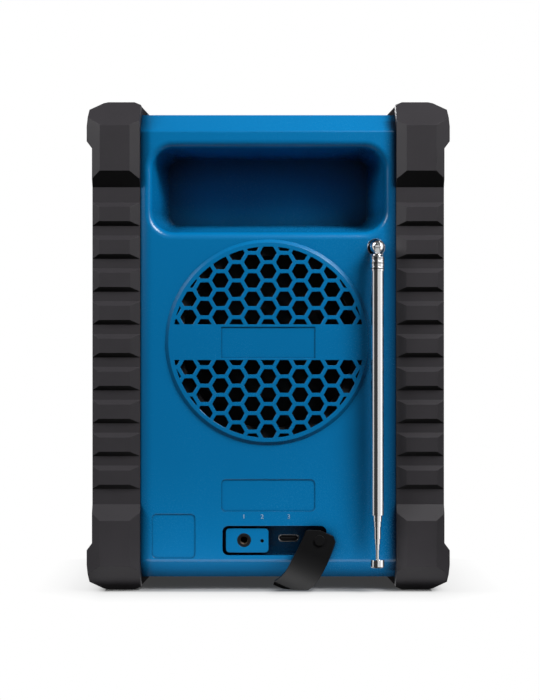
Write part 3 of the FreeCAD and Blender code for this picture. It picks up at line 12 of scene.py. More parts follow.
import bpy
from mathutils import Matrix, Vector


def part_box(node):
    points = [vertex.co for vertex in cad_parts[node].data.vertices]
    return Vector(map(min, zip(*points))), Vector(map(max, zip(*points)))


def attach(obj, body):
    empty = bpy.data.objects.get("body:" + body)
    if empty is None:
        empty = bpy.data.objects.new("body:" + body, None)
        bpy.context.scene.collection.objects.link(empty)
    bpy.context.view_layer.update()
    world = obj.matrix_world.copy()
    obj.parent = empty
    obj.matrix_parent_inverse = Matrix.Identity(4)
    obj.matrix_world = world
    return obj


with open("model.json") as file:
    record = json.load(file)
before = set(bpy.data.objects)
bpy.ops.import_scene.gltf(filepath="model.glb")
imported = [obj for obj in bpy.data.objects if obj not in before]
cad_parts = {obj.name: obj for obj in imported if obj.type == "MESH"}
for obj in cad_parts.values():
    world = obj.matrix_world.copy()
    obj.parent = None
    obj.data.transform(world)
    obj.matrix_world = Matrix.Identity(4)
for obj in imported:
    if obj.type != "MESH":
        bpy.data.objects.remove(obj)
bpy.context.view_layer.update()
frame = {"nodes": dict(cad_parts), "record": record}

NODES = frame["nodes"]
MM = 0.001
REAR_FACE_MM = -53.0
FRONT_FACE_MM = 53.0
INK_LIFT_MM = 0.02

# %% [markdown]
# ## Writing a finish as arithmetic
# A finish is a network of nodes, and networks are hard to read as lists of links. Here one small
# class wraps a socket, so that an expression such as `0.4 + 0.1 * grain` adds the Math nodes by
# itself, and one method adds any other node from its type, settings and socket values.

# %% The two classes that write a finish
class Value:
    """A socket's number on its way through a finish; arithmetic on it adds Math nodes."""

    def __init__(self, finish, socket):
        self.finish = finish
        self.socket = socket

    def combine(self, operation, first, second):
        return self.finish.add("ShaderNodeMath", {"operation": operation}, {0: first, 1: second})

    def __add__(self, other):
        return self.combine("ADD", self, other)

    def __sub__(self, other):
        return self.combine("SUBTRACT", self, other)

    def __mul__(self, other):
        return self.combine("MULTIPLY", self, other)

    def __radd__(self, other):
        return self.combine("ADD", other, self)

    def __rsub__(self, other):
        return self.combine("SUBTRACT", other, self)

    def __rmul__(self, other):
        return self.combine("MULTIPLY", other, self)


class Finish:
    """One material being written."""

    def __init__(self, name):
        self.material = bpy.data.materials.new(name)
        self.material.use_nodes = True
        self.tree = self.material.node_tree
        self.shader = self.tree.nodes["Principled BSDF"]

    def feed(self, socket, value):
        if isinstance(value, Value):
            self.tree.links.new(value.socket, socket)
        else:
            socket.default_value = value

    def add(self, kind, settings=None, sockets=None, output=0):
        """Any node: its settings first, then the values or links of its sockets."""
        node = self.tree.nodes.new(kind)
        for key, value in (settings or {}).items():
            if key == "stops":
                self.ramp(node.color_ramp, value)
            else:
                setattr(node, key, value)
        for key, value in (sockets or {}).items():
            self.feed(node.inputs[key], value)
        return Value(self, node.outputs[output])

    def split(self, axis):
        """One of the three coordinates of a point on the solid, in metres."""
        place = self.add("ShaderNodeTexCoord", output=3)
        return self.add("ShaderNodeSeparateXYZ", {}, {0: place}, output=axis)

    def absolute(self, value):
        return self.add("ShaderNodeMath", {"operation": "ABSOLUTE"}, {0: value})

    def positive(self, value):
        return self.add("ShaderNodeMath", {"operation": "MAXIMUM"}, {0: value, 1: 0.0})

    def smaller(self, first, second):
        return self.add("ShaderNodeMath", {"operation": "MINIMUM"}, {0: first, 1: second})

    def graded(self, value, stops):
        """A value from 0 to 1 sent through (place, level) stops, straight between them."""
        return self.add("ShaderNodeValToRGB", {"stops": stops}, {"Fac": value})

    def ramp(self, ramp, stops):
        while len(ramp.elements) < len(stops):
            ramp.elements.new(1.0)
        for element, (place, level) in zip(ramp.elements, stops):
            element.position = place
            element.color = (level, level, level, 1.0)

    def set(self, **values):
        for key, value in values.items():
            self.feed(self.shader.inputs[key.replace("_", " ")], value)
        return self


# %% [markdown]
# Colours are easiest to judge as they look on a screen, from 0 to 255, while a shader needs
# linear light. One helper turns the first into the second, and two more give the fine grain and
# the broad cloudiness that nearly every moulded surface shows.

# %% Colour and grain helpers
def tone(red, green, blue):
    """A screen colour from 0 to 255 as linear light."""
    def linear(level):
        level = level / 255
        return level / 12.92 if level <= 0.04045 else ((level + 0.055) / 1.055) ** 2.4

    return (linear(red), linear(green), linear(blue))


def solid_place(finish):
    """Where a point lies on the solid, in metres."""
    return finish.add("ShaderNodeTexCoord", output=3)


def clouds(finish, size_mm, detail=2.0):
    """Soft noise whose patches are about size_mm across, from 0 to 1."""
    return finish.add(
        "ShaderNodeTexNoise", {},
        {"Vector": solid_place(finish), "Scale": 1 / (size_mm * MM), "Detail": detail},
    )


def blend_colours(finish, first, second, amount):
    """The first colour at 0 and the second at 1. Either may itself be a blend."""
    first, second = (c if isinstance(c, Value) else (*c, 1.0) for c in (first, second))
    return finish.add(
        "ShaderNodeMix", {"data_type": "RGBA"}, {"Factor": amount, 6: first, 7: second}, output=2
    )


def raised(finish, height, strength, depth, normal):
    """A normal that leans as if the surface rose by height times depth, in metres."""
    return finish.add(
        "ShaderNodeBump", {},
        {"Strength": strength, "Distance": depth, "Height": height, "Normal": normal},
    )


def soft_edges(finish, radius_mm, height=None, strength=0.2, depth_mm=0.05):
    """A normal that rounds hard edges by a small radius, with an optional grain on top."""
    rounded = finish.add("ShaderNodeBevel", {"samples": 6}, {"Radius": radius_mm * MM})
    if height is None:
        return rounded
    return raised(finish, height, strength, depth_mm * MM, rounded)


FINISHES = {}


# %% [markdown]
# ## The blue housing
# The real shell is moulded ABS with a very fine satin grain: smooth enough to show a clear,
# slightly soft reflection of the studio. A fine noise gives the grain, and a broad one lets colour
# and gloss drift by a breath. Two more things are read from the photograph rather than from the
# plastic. Corners that little light reaches look deeper, which an ambient occlusion node gives.
# The rear face darkens at both ends: a shallow bump makes it seem to curl back on the left, and
# on the right, where the photograph shows the bumper's shadow, the colour itself is deepened.

# %% Blue moulded plastic
CURL_START = 49.6 * MM
CURL_RADIUS = 7.0 * MM
SHADE_START = 48.9 * MM
SHADE_WIDTH = 5.5 * MM
SHADE_DEPTH = 0.85
REAR_ZONE = 47.0 * MM
CORNER_REACH = 20 * MM


def shade_beside_bumper(finish):
    """From 0 to SHADE_DEPTH across the strip next to the right bumper, on the rear face only."""
    across = (finish.split(0) - SHADE_START) * (1 / SHADE_WIDTH)
    rearward = (-1.0 * finish.split(1) - REAR_ZONE) * (1 / MM)
    on_rear = finish.smaller(finish.positive(rearward), 1.0)
    return finish.graded(across, [(0.0, 0.0), (1.0, SHADE_DEPTH)]) * on_rear


def curl_at_left_end(finish):
    """The height, in metres, of a round shoulder that falls away at the left end."""
    past = finish.positive(-1.0 * finish.split(0) - CURL_START)
    return past * past * (-0.5 / CURL_RADIUS)


def blue_plastic():
    finish = Finish("blue_moulding")
    grain = clouds(finish, 0.3, 3.0)
    drift = clouds(finish, 45.0)
    openness = finish.add(
        "ShaderNodeAmbientOcclusion", {"samples": 6}, {"Distance": CORNER_REACH}, output=1
    )
    lit = finish.graded(openness, [(0.3, 0.0), (0.9, 1.0)]) * (1.0 - shade_beside_bumper(finish))
    open_blue = blend_colours(finish, tone(0, 99, 151), tone(0, 104, 158), drift)
    curled = raised(finish, curl_at_left_end(finish), 1.0, 1.0, soft_edges(finish, 0.3))
    finish.set(
        Base_Color=blend_colours(finish, tone(0, 22, 44), open_blue, lit),
        Roughness=0.22 + 0.06 * grain + 0.03 * drift,
        Normal=raised(finish, grain, 0.06, 0.01 * MM, curled),
        Specular_IOR_Level=0.4,
    )
    return finish.material


FINISHES["housing_blue"] = blue_plastic()
print("housing finish:", FINISHES["housing_blue"].name)

# %% [markdown]
# ## The rubber
# The bumpers and the port cover are moulded rubber: nearly black, matt, with a fine pebble
# that catches the light as a soft grey. Handling and dust leave soft patches a little smoother
# and paler. The undersides are painted shade: away from the floor they turn deep black, because
# the light comes from above. Near the floor the undersides keep the paler colour, as painted
# light that comes up from it.

# %% Black rubber
# Painted shade: the deep black of undersides that face away from the light.
UNDERSIDE_SHADE_BLACK = tone(14, 13, 14)


def black_rubber(name, dark, light, rough, shine=0.25):
    finish = Finish(name)
    grain = clouds(finish, 0.45, 4.0)
    wear = clouds(finish, 14.0, 3.0)
    facing = finish.add("ShaderNodeTexCoord", output=1)
    facing_up = finish.add("ShaderNodeSeparateXYZ", {}, {0: facing}, output=2)
    underside = finish.graded(-1.0 * facing_up, [(0.05, 0.0), (0.4, 1.0)])
    off_floor = finish.graded(finish.split(2) * 10.0, [(0.2, 0.0), (0.5, 1.0)])
    dusty = blend_colours(finish, dark, light, wear)
    finish.set(
        # Painted shade: undersides away from the floor take the deep black colour.
        Base_Color=blend_colours(finish, dusty, UNDERSIDE_SHADE_BLACK, underside * off_floor),
        Roughness=rough + 0.1 * grain - 0.05 * wear,
        Normal=soft_edges(finish, 0.22, grain, 0.2, 0.03),
        Specular_IOR_Level=shine,
    )
    return finish.material


for slot_name, name, dark, light, rough, shine in (
    ("bumper_rubber", "bumper_rubber_pebble", tone(48, 46, 49), tone(56, 54, 57), 0.45, 0.25),
    ("flap_rubber", "cover_rubber_soft", tone(14, 14, 15), tone(20, 20, 21), 0.5, 0.12),
    ("seal_rubber", "seal_rubber_soft", tone(24, 24, 25), tone(32, 32, 33), 0.6, 0.25),
):
    FINISHES[slot_name] = black_rubber(name, dark, light, rough, shine)
print("rubber finishes added, in all:", len(FINISHES))

# %% [markdown]
# ## The chrome mast and other bright metal
# The mast is drawn tube, polished and plated. It mirrors the room, so its look is all reflection:
# full metal, low roughness, and hair-fine draw marks that run along the tube. The same writing
# with a duller colour and more roughness gives pressed steel, zinc screws, coil wire and bronze.

# %% Bright metal
CHROME = (0.86, 0.865, 0.87)


def bright_metal(name, colour, rough, mark_mm):
    finish = Finish(name)
    stretched = finish.add(
        "ShaderNodeMapping", {}, {"Vector": solid_place(finish), "Scale": (1.0, 1.0, 0.06)}
    )
    marks = finish.add(
        "ShaderNodeTexNoise", {}, {"Vector": stretched, "Scale": 1 / (mark_mm * MM), "Detail": 3.0}
    )
    finish.set(
        Base_Color=blend_colours(finish, colour, tuple(0.92 * c for c in colour), marks),
        Metallic=1.0,
        Roughness=rough + 0.05 * marks,
        Normal=soft_edges(finish, 0.12, marks, 0.05, 0.01),
    )
    return finish.material


for slot_name, name, colour, rough, mark_mm in (
    ("mast_chrome", "mast_chrome_plate", CHROME, 0.07, 0.5),
    ("port_steel", "port_steel_shell", (0.74, 0.745, 0.75), 0.2, 0.3),
    ("screw_steel", "screw_zinc", (0.55, 0.55, 0.54), 0.32, 0.3),
    ("coil_copper", "coil_wire", (0.72, 0.36, 0.2), 0.35, 0.2),
    ("jack_bronze", "jack_contact_bronze", (0.27, 0.21, 0.15), 0.35, 0.2),
):
    FINISHES[slot_name] = bright_metal(name, colour, rough, mark_mm)
print("bright metals added, in all:", len(FINISHES))

# %% [markdown]
# The ferrule that holds the mast's first tube has three turned rings in the photograph. The solid
# is plain there, and a ring on top of it would reach past the model's box, so they are dark lines
# in the ferrule's colour, at three heights.

# %% Grooved ferrule
GROOVE_HEIGHTS_MM = (142.0, 139.9, 137.6)


def grooved_ferrule():
    finish = Finish("mast_ferrule_plate")
    marks = clouds(finish, 0.4)
    up = finish.split(2)
    first, *others = [finish.absolute(up - height * MM) for height in GROOVE_HEIGHTS_MM]
    nearest = first
    for distance in others:
        nearest = finish.smaller(nearest, distance)
    # Painted shade: each turned ring is a dark band in the base colour, standing in for its shade.
    plain = finish.graded(nearest * (1 / MM), [(0.1, 0.0), (0.25, 1.0)])
    finish.set(
        Base_Color=blend_colours(finish, (0.1, 0.1, 0.11), CHROME, plain),
        Metallic=1.0,
        Roughness=0.09 + 0.04 * marks,
        Normal=soft_edges(finish, 0.12),
    )
    return finish.material


FINISHES["ferrule_chrome"] = grooved_ferrule()
print("ferrule grooves:", len(GROOVE_HEIGHTS_MM))

# %% [markdown]
# The charging socket is a pressed steel shell round a black insert. They are one solid in the
# model, so the finish turns from bright metal to black a little way behind the mouth. The black is
# the insert's own colour, and on the shell's inner walls it is painted shade.

# %% Charging socket
SOCKET_MOUTH = -45.45 * MM
MOUTH_BLEND = 0.5 * MM


def socket_steel():
    finish = Finish("usb_socket_steel")
    grain = clouds(finish, 0.3)
    depth = (finish.split(1) - SOCKET_MOUTH) * (1 / MOUTH_BLEND)
    inside = finish.graded(depth, [(0.0, 0.0), (1.0, 1.0)])
    finish.set(
        # Painted shade in part: behind the mouth the shell's inner walls are as black as the
        # insert.
        Base_Color=blend_colours(finish, (0.8, 0.8, 0.8), (0.006, 0.006, 0.007), inside),
        Roughness=0.3 + 0.1 * grain,
        Metallic=1.0 - inside,
        Normal=soft_edges(finish, 0.1),
    )
    return finish.material


FINISHES["usb_steel"] = socket_steel()
print("socket finish:", FINISHES["usb_steel"].name)

# %% [markdown]
# ## Moulded, painted and pressed pieces
# Knobs, keys, sockets, paint, ferrite and shrink sleeve differ in colour, gloss and grain, and in
# little else. One function writes them all: a fine grain in roughness and bump, and a slight drift
# of colour.

# %% Plain finishes
def moulding(name, dark, light, rough, grain_mm=0.4, bump=0.15):
    finish = Finish(name)
    grain = clouds(finish, grain_mm, 3.0)
    drift = clouds(finish, 12.0)
    finish.set(
        Base_Color=blend_colours(finish, dark, light, drift),
        Roughness=rough + 0.1 * grain,
        Normal=soft_edges(finish, 0.2, grain, bump, 0.03),
    )
    return finish.material


for slot_name, name, dark, light, *rest in (
    ("port_black", "port_black_nylon", tone(10, 10, 11), tone(18, 18, 19), 0.45),
    ("driver_steel", "driver_black_paint", tone(6, 6, 7), tone(12, 12, 13), 0.6),
    ("magnet_iron", "magnet_ferrite", tone(48, 48, 50), tone(62, 61, 62), 0.6, 0.8, 0.4),
    ("grille_metal", "grille_powder_coat", tone(20, 20, 22), tone(28, 28, 30), 0.5, 0.5, 0.35),
    ("control_black", "control_black_fine", tone(26, 26, 28), tone(34, 34, 36), 0.5),
    ("key_grey", "key_soft_grey", tone(58, 60, 64), tone(66, 68, 72), 0.65),
    ("screen_dark", "screen_dark_glass", tone(16, 20, 22), tone(20, 25, 27), 0.15),
    ("cell_wrap", "cell_shrink_sleeve", tone(30, 92, 66), tone(40, 104, 76), 0.3),
    ("cradle_black", "cradle_black_nylon", tone(20, 20, 21), tone(28, 28, 29), 0.55),
    ("print_grey", "print_pale_grey", tone(150, 176, 196), tone(164, 188, 206), 0.5),
):
    FINISHES[slot_name] = moulding(name, dark, light, *rest)
print("plain finishes added, in all:", len(FINISHES))

# %% [markdown]
# ## Board, paper and window
# Three finishes have a pattern of their own. The circuit boards are green solder mask over faint
# tracks, which a Voronoi pattern with square distances suggests. The loudspeaker's cone is felted
# paper, so its noise is fine and very detailed. The window is smoked plastic with a clear coat.

# %% Board, paper and window finishes
def circuit_board():
    finish = Finish("circuit_board")
    cells = finish.add(
        "ShaderNodeTexVoronoi", {"distance": "MANHATTAN", "feature": "F1"},
        {"Vector": solid_place(finish), "Scale": 1 / (3.0 * MM)},
    )
    lines = finish.graded(cells, [(0.42, 0.0), (0.5, 1.0)])
    finish.set(
        Base_Color=blend_colours(finish, tone(12, 70, 42), tone(24, 98, 60), lines),
        Roughness=0.35 + 0.1 * clouds(finish, 0.4),
        Normal=soft_edges(finish, 0.1, lines, 0.1, 0.03),
    )
    return finish.material


def felted_paper():
    finish = Finish("cone_paper")
    fibre = clouds(finish, 0.6, 6.0)
    finish.set(
        Base_Color=blend_colours(finish, tone(30, 30, 31), tone(52, 51, 50), fibre),
        Roughness=0.85 + 0.1 * fibre,
        Normal=soft_edges(finish, 0.2, fibre, 0.4, 0.05),
    )
    return finish.material


def smoked_window():
    finish = Finish("smoked_window")
    haze = clouds(finish, 20.0)
    finish.set(
        Base_Color=blend_colours(finish, tone(14, 18, 22), tone(20, 25, 30), haze),
        Roughness=0.06 + 0.03 * haze,
        Normal=soft_edges(finish, 0.3),
        Coat_Weight=0.5,
    )
    return finish.material


FINISHES["board_green"] = circuit_board()
FINISHES["cone_paper"] = felted_paper()
FINISHES["window_clear"] = smoked_window()
print("finishes in all:", len(FINISHES))

# %% [markdown]
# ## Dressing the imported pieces
# The record names a material slot for every node, and each slot has its finish. Two nodes then
# get a closer one: the charging socket and the mast's ferrule.

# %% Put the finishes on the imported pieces
SLOT_OF = {row["node"]: row["material_slot"] for row in frame["record"]["subparts"]}
CLOSER_FINISH = {"usb_c_socket": "usb_steel", "antenna_ferrule": "ferrule_chrome"}
for node_name, node in NODES.items():
    for slot in node.material_slots:
        slot.material = FINISHES[CLOSER_FINISH.get(node_name, SLOT_OF[node_name])]
print("dressed pieces:", len(NODES))

# %% [markdown]
# ## Turned and bent details
# A few small things are too fine for the imported model: the black lining of the mast's well and
# a thin steel ring round its mouth, which is a painted highlight for the light on the well's edge,
# the flare at the top of its ferrule, the contact ring in the audio socket and the folded lip of
# the charging socket. Each is a short profile turned about an axis, or a closed line with a round
# section, and each rides on the body that carries it.

# %% Helpers for turned and bent pieces
def place_piece(name, data, slot, body, place=(0, 0, 0), rotation=(0, 0, 0)):
    """Makes an object of a mesh, curve or text, with its finish, riding on its body."""
    data.materials.append(FINISHES[slot])
    piece = bpy.data.objects.new(name, data)
    bpy.context.collection.objects.link(piece)
    piece.location = tuple(v * MM for v in place)
    piece.rotation_euler = rotation
    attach(piece, body)


def smooth_mesh(name, places, faces, slot, body):
    mesh = bpy.data.meshes.new(name)
    mesh.from_pydata(places, [], faces)
    mesh.update()
    for face in mesh.polygons:
        face.use_smooth = True
    place_piece(name, mesh, slot, body)


def turned(name, centre, axis, profile, slot, body, closed=False, steps=64):
    """A profile of (radius, place along the axis) points, in mm, turned about the axis."""
    places, faces = [], []
    for step in range(steps):
        turn = 2 * math.pi * step / steps
        for radius, along in profile:
            across, up = radius * math.cos(turn), radius * math.sin(turn)
            spot = (across, along, up) if axis == "y" else (across, -up, along)
            places.append(tuple((c + v) * MM for c, v in zip(centre, spot)))
    count = len(profile)
    for step in range(steps):
        this, after = step * count, (step + 1) % steps * count
        for point in range(count if closed else count - 1):
            following = (point + 1) % count
            faces.append((this + point, this + following, after + following, after + point))
    smooth_mesh(name, places, faces, slot, body)


def ring(name, centre, axis, radius, thickness, slot, body, sides=10):
    """A round ring of round section."""
    angles = [2 * math.pi * side / sides for side in range(sides)]
    section = [(radius + thickness * math.cos(a), thickness * math.sin(a)) for a in angles]
    turned(name, centre, axis, section, slot, body, closed=True)


def bent_wire(name, points, thickness, slot, body):
    """A closed line through the points, in mm, with a round section."""
    line = bpy.data.curves.new(name, "CURVE")
    line.dimensions = "3D"
    line.bevel_depth = thickness * MM
    line.bevel_resolution = 3
    spline = line.splines.new("POLY")
    spline.points.add(len(points) - 1)
    for point, place in zip(spline.points, points):
        point.co = (*(v * MM for v in place), 1.0)
    spline.use_cyclic_u = True
    place_piece(name, line, slot, body)


print("helpers: turned, ring, bent_wire")

# %% Mast well and ferrule
MAST_X, MAST_Y, BALL_Z = 46.2, -60.6, 147.1
WELL_PROFILE = [(2.2, -51.05), (3.42, -51.08), (3.48, -51.3), (3.48, -53.02), (3.6, -53.04)]
FLARE_PROFILE = [(2.98, 143.3), (2.9, 143.62), (2.35, 143.86), (1.7, 144.02), (1.0, 144.06)]
INK_FACE_MM = REAR_FACE_MM - INK_LIFT_MM

turned("well_lining", (MAST_X, 0, BALL_Z), "y", WELL_PROFILE, "port_black", "housing")
# Painted highlight: a thin bright steel ring where the well's edge catches the light.
ring("well_edge_highlight", (MAST_X, INK_FACE_MM, BALL_Z), "y", 3.72, 0.08, "port_steel", "housing")
turned("ferrule_flare", (MAST_X, MAST_Y, 0), "z", FLARE_PROFILE, "mast_chrome", "mast_base")
print("mast details in place")

# %% Audio socket and charging socket
JACK_X, JACK_Z = -10.36, 21.7
LIP_HALF_FLAT, LIP_ROUND, LIP_THICKNESS = 2.92, 1.42, 0.17

ring("jack_contact_ring", (JACK_X, -51.4, JACK_Z), "y", 1.62, 0.16, "jack_bronze", "housing")


def middle_of(node_name):
    """The middle of a node's box, in mm."""
    return [(low + high) / 2 / MM for low, high in zip(*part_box(node_name))]


def socket_lip():
    """Two half circles joined by straight sides, just in front of the socket's mouth."""
    x, _, z = middle_of("usb_c_socket")
    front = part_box("usb_c_socket")[0][1] / MM - INK_LIFT_MM
    points = []
    for side in (1, -1):
        for angle in (math.radians(-90 + 15 * step) for step in range(13)):
            out = LIP_HALF_FLAT + LIP_ROUND * math.cos(angle)
            points.append((x + side * out, front, z + side * LIP_ROUND * math.sin(angle)))
    return points


bent_wire("usb_lip", socket_lip(), LIP_THICKNESS, "port_steel", "housing")

# %% [markdown]
# ## Numerals
# Each port carries a plain numeral where the photograph shows small print. Text made with
# Blender's own font is a piece like any other: it lies on a face, as thin as ink.

# %% Numerals over the ports
NUMERAL_Z = 31.8


def printed(name, words, place, size, turn, body):
    """Numerals that lie on the rear face with a turn of 0, or on the front face with 180."""
    text = bpy.data.curves.new(name, "FONT")
    text.body = words
    text.size = size * MM
    text.extrude = INK_LIFT_MM * MM
    text.align_x = "CENTER"
    text.align_y = "CENTER"
    upright = (math.radians(90), 0, math.radians(turn))
    place_piece(name, text, "print_grey", body, place, upright)


for words, across in (("1", -10.4), ("2", -2.6), ("3", 8.8)):
    printed(f"port_numeral_{words}", words, (across, INK_FACE_MM, NUMERAL_Z), 2.7, 0, "housing")

# %% [markdown]
# ## The front face
# The photograph doesn't show the front, so it gets only what any such radio needs: a frequency
# on the display, a numeral on each key, and a fine grip round each knob.

# %% Display and keys
DISPLAY_X, _, DISPLAY_Z = middle_of("display_window")
DISPLAY_INK = FRONT_FACE_MM + INK_LIFT_MM

for name, words, right, up, size in (
    ("display_numerals", "98.5", 4, 1.5, 15.0),
    ("display_clock", "12:30", -22, 11.5, 5.0),
):
    printed(name, words, (DISPLAY_X + right, DISPLAY_INK, DISPLAY_Z + up), size, 180, "housing")
for number in range(1, 7):
    x, _, z = middle_of(f"button_{number}")
    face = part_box(f"button_{number}")[1][1] / MM
    printed(f"key_numeral_{number}", str(number), (x, face + 0.01, z), 4.0, 180, f"key_{number}")

# %% [markdown]
# A knob is easier to turn with ribs round its side. Each rib is a bar with a half-round section
# that sinks into the knob at both ends, and all the ribs of a knob are one mesh.

# %% Knob grips
RIB_COUNT = 36
RIB_SUNK, RIB_HEIGHT, RIB_HALF_WIDTH = 0.12, 0.37, 0.42
RIB_BACK_MARGIN, RIB_FRONT_MARGIN, RIB_RUN_OUT = 1.4, 1.6, 0.4
SECTION_STEPS = 4


def grip_ribs(name, node_name, body):
    low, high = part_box(node_name)
    cx, _, cz = middle_of(node_name)
    radius = (high[0] - low[0]) / 2 / MM
    near, far = low[1] / MM + RIB_BACK_MARGIN, high[1] / MM - RIB_FRONT_MARGIN
    levels = ((near, 0.0), (near + RIB_RUN_OUT, 1.0), (far - RIB_RUN_OUT, 1.0), (far, 0.0))
    row = SECTION_STEPS + 1
    places, faces = [], []
    for rib in range(RIB_COUNT):
        turn = 2 * math.pi * rib / RIB_COUNT
        start = len(places)
        for along, fullness in levels:
            for step in range(row):
                bend = math.pi * step / SECTION_STEPS
                out = radius - RIB_SUNK + RIB_HEIGHT * math.sin(bend) * fullness
                side = RIB_HALF_WIDTH * math.cos(bend)
                x = out * math.cos(turn) - side * math.sin(turn)
                z = out * math.sin(turn) + side * math.cos(turn)
                places.append(((cx + x) * MM, along * MM, (cz + z) * MM))
        for level in range(len(levels) - 1):
            for step in range(SECTION_STEPS):
                a = start + level * row + step
                faces.append((a, a + 1, a + row + 1, a + row))
    smooth_mesh(name, places, faces, "control_black", body)


grip_ribs("volume_grip_ribs", "volume_knob", "volume_turn")
grip_ribs("tuning_grip_ribs", "tuning_knob", "tuning_turn")

# %% [markdown]
# ## The studio
# The photograph is a plain product shot: a white floor that fades into white, soft light from
# above on the right, and a camera that looks straight at the rear, level with the middle of the
# radio. To the camera the floor glows at a strength of 1, which is white, except near the feet,
# where it is a grey surface that shades off into the glow. To bounced light it is a dim grey with
# a bright band round the radio, so that the undersides get light and the faces no haze.

# %% Floor
FOOT_HALF_WIDTH = 0.070
FOOT_HALF_DEPTH = 0.052
SHADOW_REACH = 0.04
FLOOR_HALF = 4.0
FLOOR_DROP = 0.0002
TO_WHITE = [(0.0, 0.04), (0.01, 0.3), (0.09, 0.66), (0.23, 0.8), (0.51, 0.92), (0.8, 1.0)]
BRIGHT_BAND = [(0.0, 0.0), (0.06, 0.0), (0.3, 0.55), (0.9, 0.0)]


def studio_floor_finish():
    finish = Finish("studio_floor")
    tree = finish.tree
    path = tree.nodes.new("ShaderNodeLightPath")
    camera_ray = Value(finish, path.outputs["Is Camera Ray"])
    grain = clouds(finish, 30.0)

    def greys(dark, light):
        colour = blend_colours(finish, (dark,) * 3, (light,) * 3, grain)
        return finish.add("ShaderNodeBsdfDiffuse", {}, {"Color": colour})

    def glow(strength):
        return finish.add(
            "ShaderNodeEmission", {}, {"Color": (1.0, 1.0, 1.0, 1.0), "Strength": strength}
        )

    def mix(amount, first, second):
        return finish.add("ShaderNodeMixShader", {}, {0: amount, 1: first, 2: second})

    gap_x = finish.positive(finish.absolute(finish.split(0)) - FOOT_HALF_WIDTH)
    gap_y = finish.positive(finish.absolute(finish.split(1)) - FOOT_HALF_DEPTH)
    gap = (gap_x + gap_y) * (1 / SHADOW_REACH)
    bounced = mix(finish.graded(gap * 0.5, BRIGHT_BAND), greys(0.1, 0.12), glow(0.5))
    seen = mix(finish.graded(gap, TO_WHITE), greys(0.3, 0.32), glow(1.0))
    shown = mix(camera_ray, bounced, seen)
    tree.links.new(shown.socket, tree.nodes["Material Output"].inputs["Surface"])
    return finish.material


def make_floor():
    """A flat floor just under the feet, which gloss and shadow rays pass through."""
    half = FLOOR_HALF
    mesh = bpy.data.meshes.new("studio_floor")
    corners = [(-half, -half, 0), (half, -half, 0), (half, half, 0), (-half, half, 0)]
    mesh.from_pydata(corners, [], [(0, 1, 2, 3)])
    mesh.materials.append(studio_floor_finish())
    floor = bpy.data.objects.new("studio_floor", mesh)
    bpy.context.collection.objects.link(floor)
    floor.location.z = -FLOOR_DROP
    floor.visible_glossy = False
    floor.visible_shadow = False


make_floor()
print("floor:", 2 * FLOOR_HALF, "metres across")

# %% [markdown]
# ## Lamps
# A large softbox up on the right is the key light, and narrow strips on both sides draw out the
# edges. One softbox lights the front. A photographer holds a net before a lamp to dim it on one
# part of the subject. Here a lamp is told which pieces it reaches, and the rubber gets a dimmer
# key and strips of its own.

# %% Lamp helpers and groups of pieces
AIM = (0.0, -0.03, 0.11)


def group(name, members):
    """A collection of the pieces that a lamp reaches."""
    collection = bpy.data.collections.new(name)
    for member in members:
        collection.objects.link(member)
    return collection


def soft_lamp(name, place, size, power, reaches=None, aim=AIM):
    """A rectangular lamp, in metres and watts, that lights everything or one group."""
    light = bpy.data.lights.new(name, "AREA")
    light.shape = "RECTANGLE"
    light.size, light.size_y = size
    light.energy = power
    lamp = bpy.data.objects.new(name, light)
    bpy.context.collection.objects.link(lamp)
    lamp.location = place
    direction = Vector(aim) - Vector(place)
    lamp.rotation_euler = direction.to_track_quat("-Z", "Y").to_euler()
    if reaches is not None:
        lamp.light_linking.receiver_collection = reaches
    return lamp


SHAPES = [o for o in bpy.context.scene.objects if o.type in {"MESH", "CURVE", "FONT"}]
RUBBER = group("rubber_pieces", [NODES["left_bumper"], NODES["right_bumper"]])
OTHERS = group("other_pieces", [o for o in SHAPES if "bumper" not in o.name])
SHELLS = group("shell_pieces", [NODES["rear_shell"], NODES["front_shell"]])
CHROME_NODES = [NODES[name] for name, slot in SLOT_OF.items() if slot == "mast_chrome"]
TRIM = [o for o in SHAPES if o.name.startswith(("ferrule_", "usb_", "well_edge_highlight"))]
BRIGHT = group("bright_pieces", CHROME_NODES + TRIM)

# %% Softboxes and strips
KEY_PLACE, KEY_SIZE = (0.36, -0.42, 0.66), (0.34, 0.26)
STRIP_SIZE = (0.2, 0.3)

soft_lamp("key_softbox", KEY_PLACE, KEY_SIZE, 8.2, OTHERS)
soft_lamp("key_through_net", KEY_PLACE, KEY_SIZE, 3.2, RUBBER)
soft_lamp("front_softbox", (-0.35, 0.72, 0.5), (0.4, 0.3), 9.0, aim=(0.0, 0.05, 0.1))
soft_lamp("left_strip", (-0.78, -0.46, 0.6), (0.18, 0.5), 4.0)
soft_lamp("right_strip", (0.66, -0.6, 0.52), (0.2, 0.4), 1.4)
soft_lamp("left_rubber_strip", (-0.7, -0.6, 0.6), STRIP_SIZE, 3.4, RUBBER)
soft_lamp("right_rubber_strip", (0.7, -0.6, 0.6), STRIP_SIZE, 2.0, RUBBER)
print("softboxes and strips in place")

# %% [markdown]
# Cards finish the light. One lies on the floor in front of the radio and lights the lower edge
# from below, with a dimmer copy for the rubber. Three more stand round the mast, and only bright
# metal mirrors them, because polished tube looks black in a room with nothing to mirror.

# %% Cards
CARD_AIM = (0.047, -0.06, 0.1)


def low_card(name, power, reaches):
    card = soft_lamp(
        name, (0.0, -0.07, 0.002), (0.155, 0.036), power, reaches, aim=(0.0, -0.07, 1.0)
    )
    card.visible_camera = False


def mast_card(name, place, size, power):
    card = soft_lamp(name, place, size, power, BRIGHT, aim=CARD_AIM)
    card.visible_diffuse = False


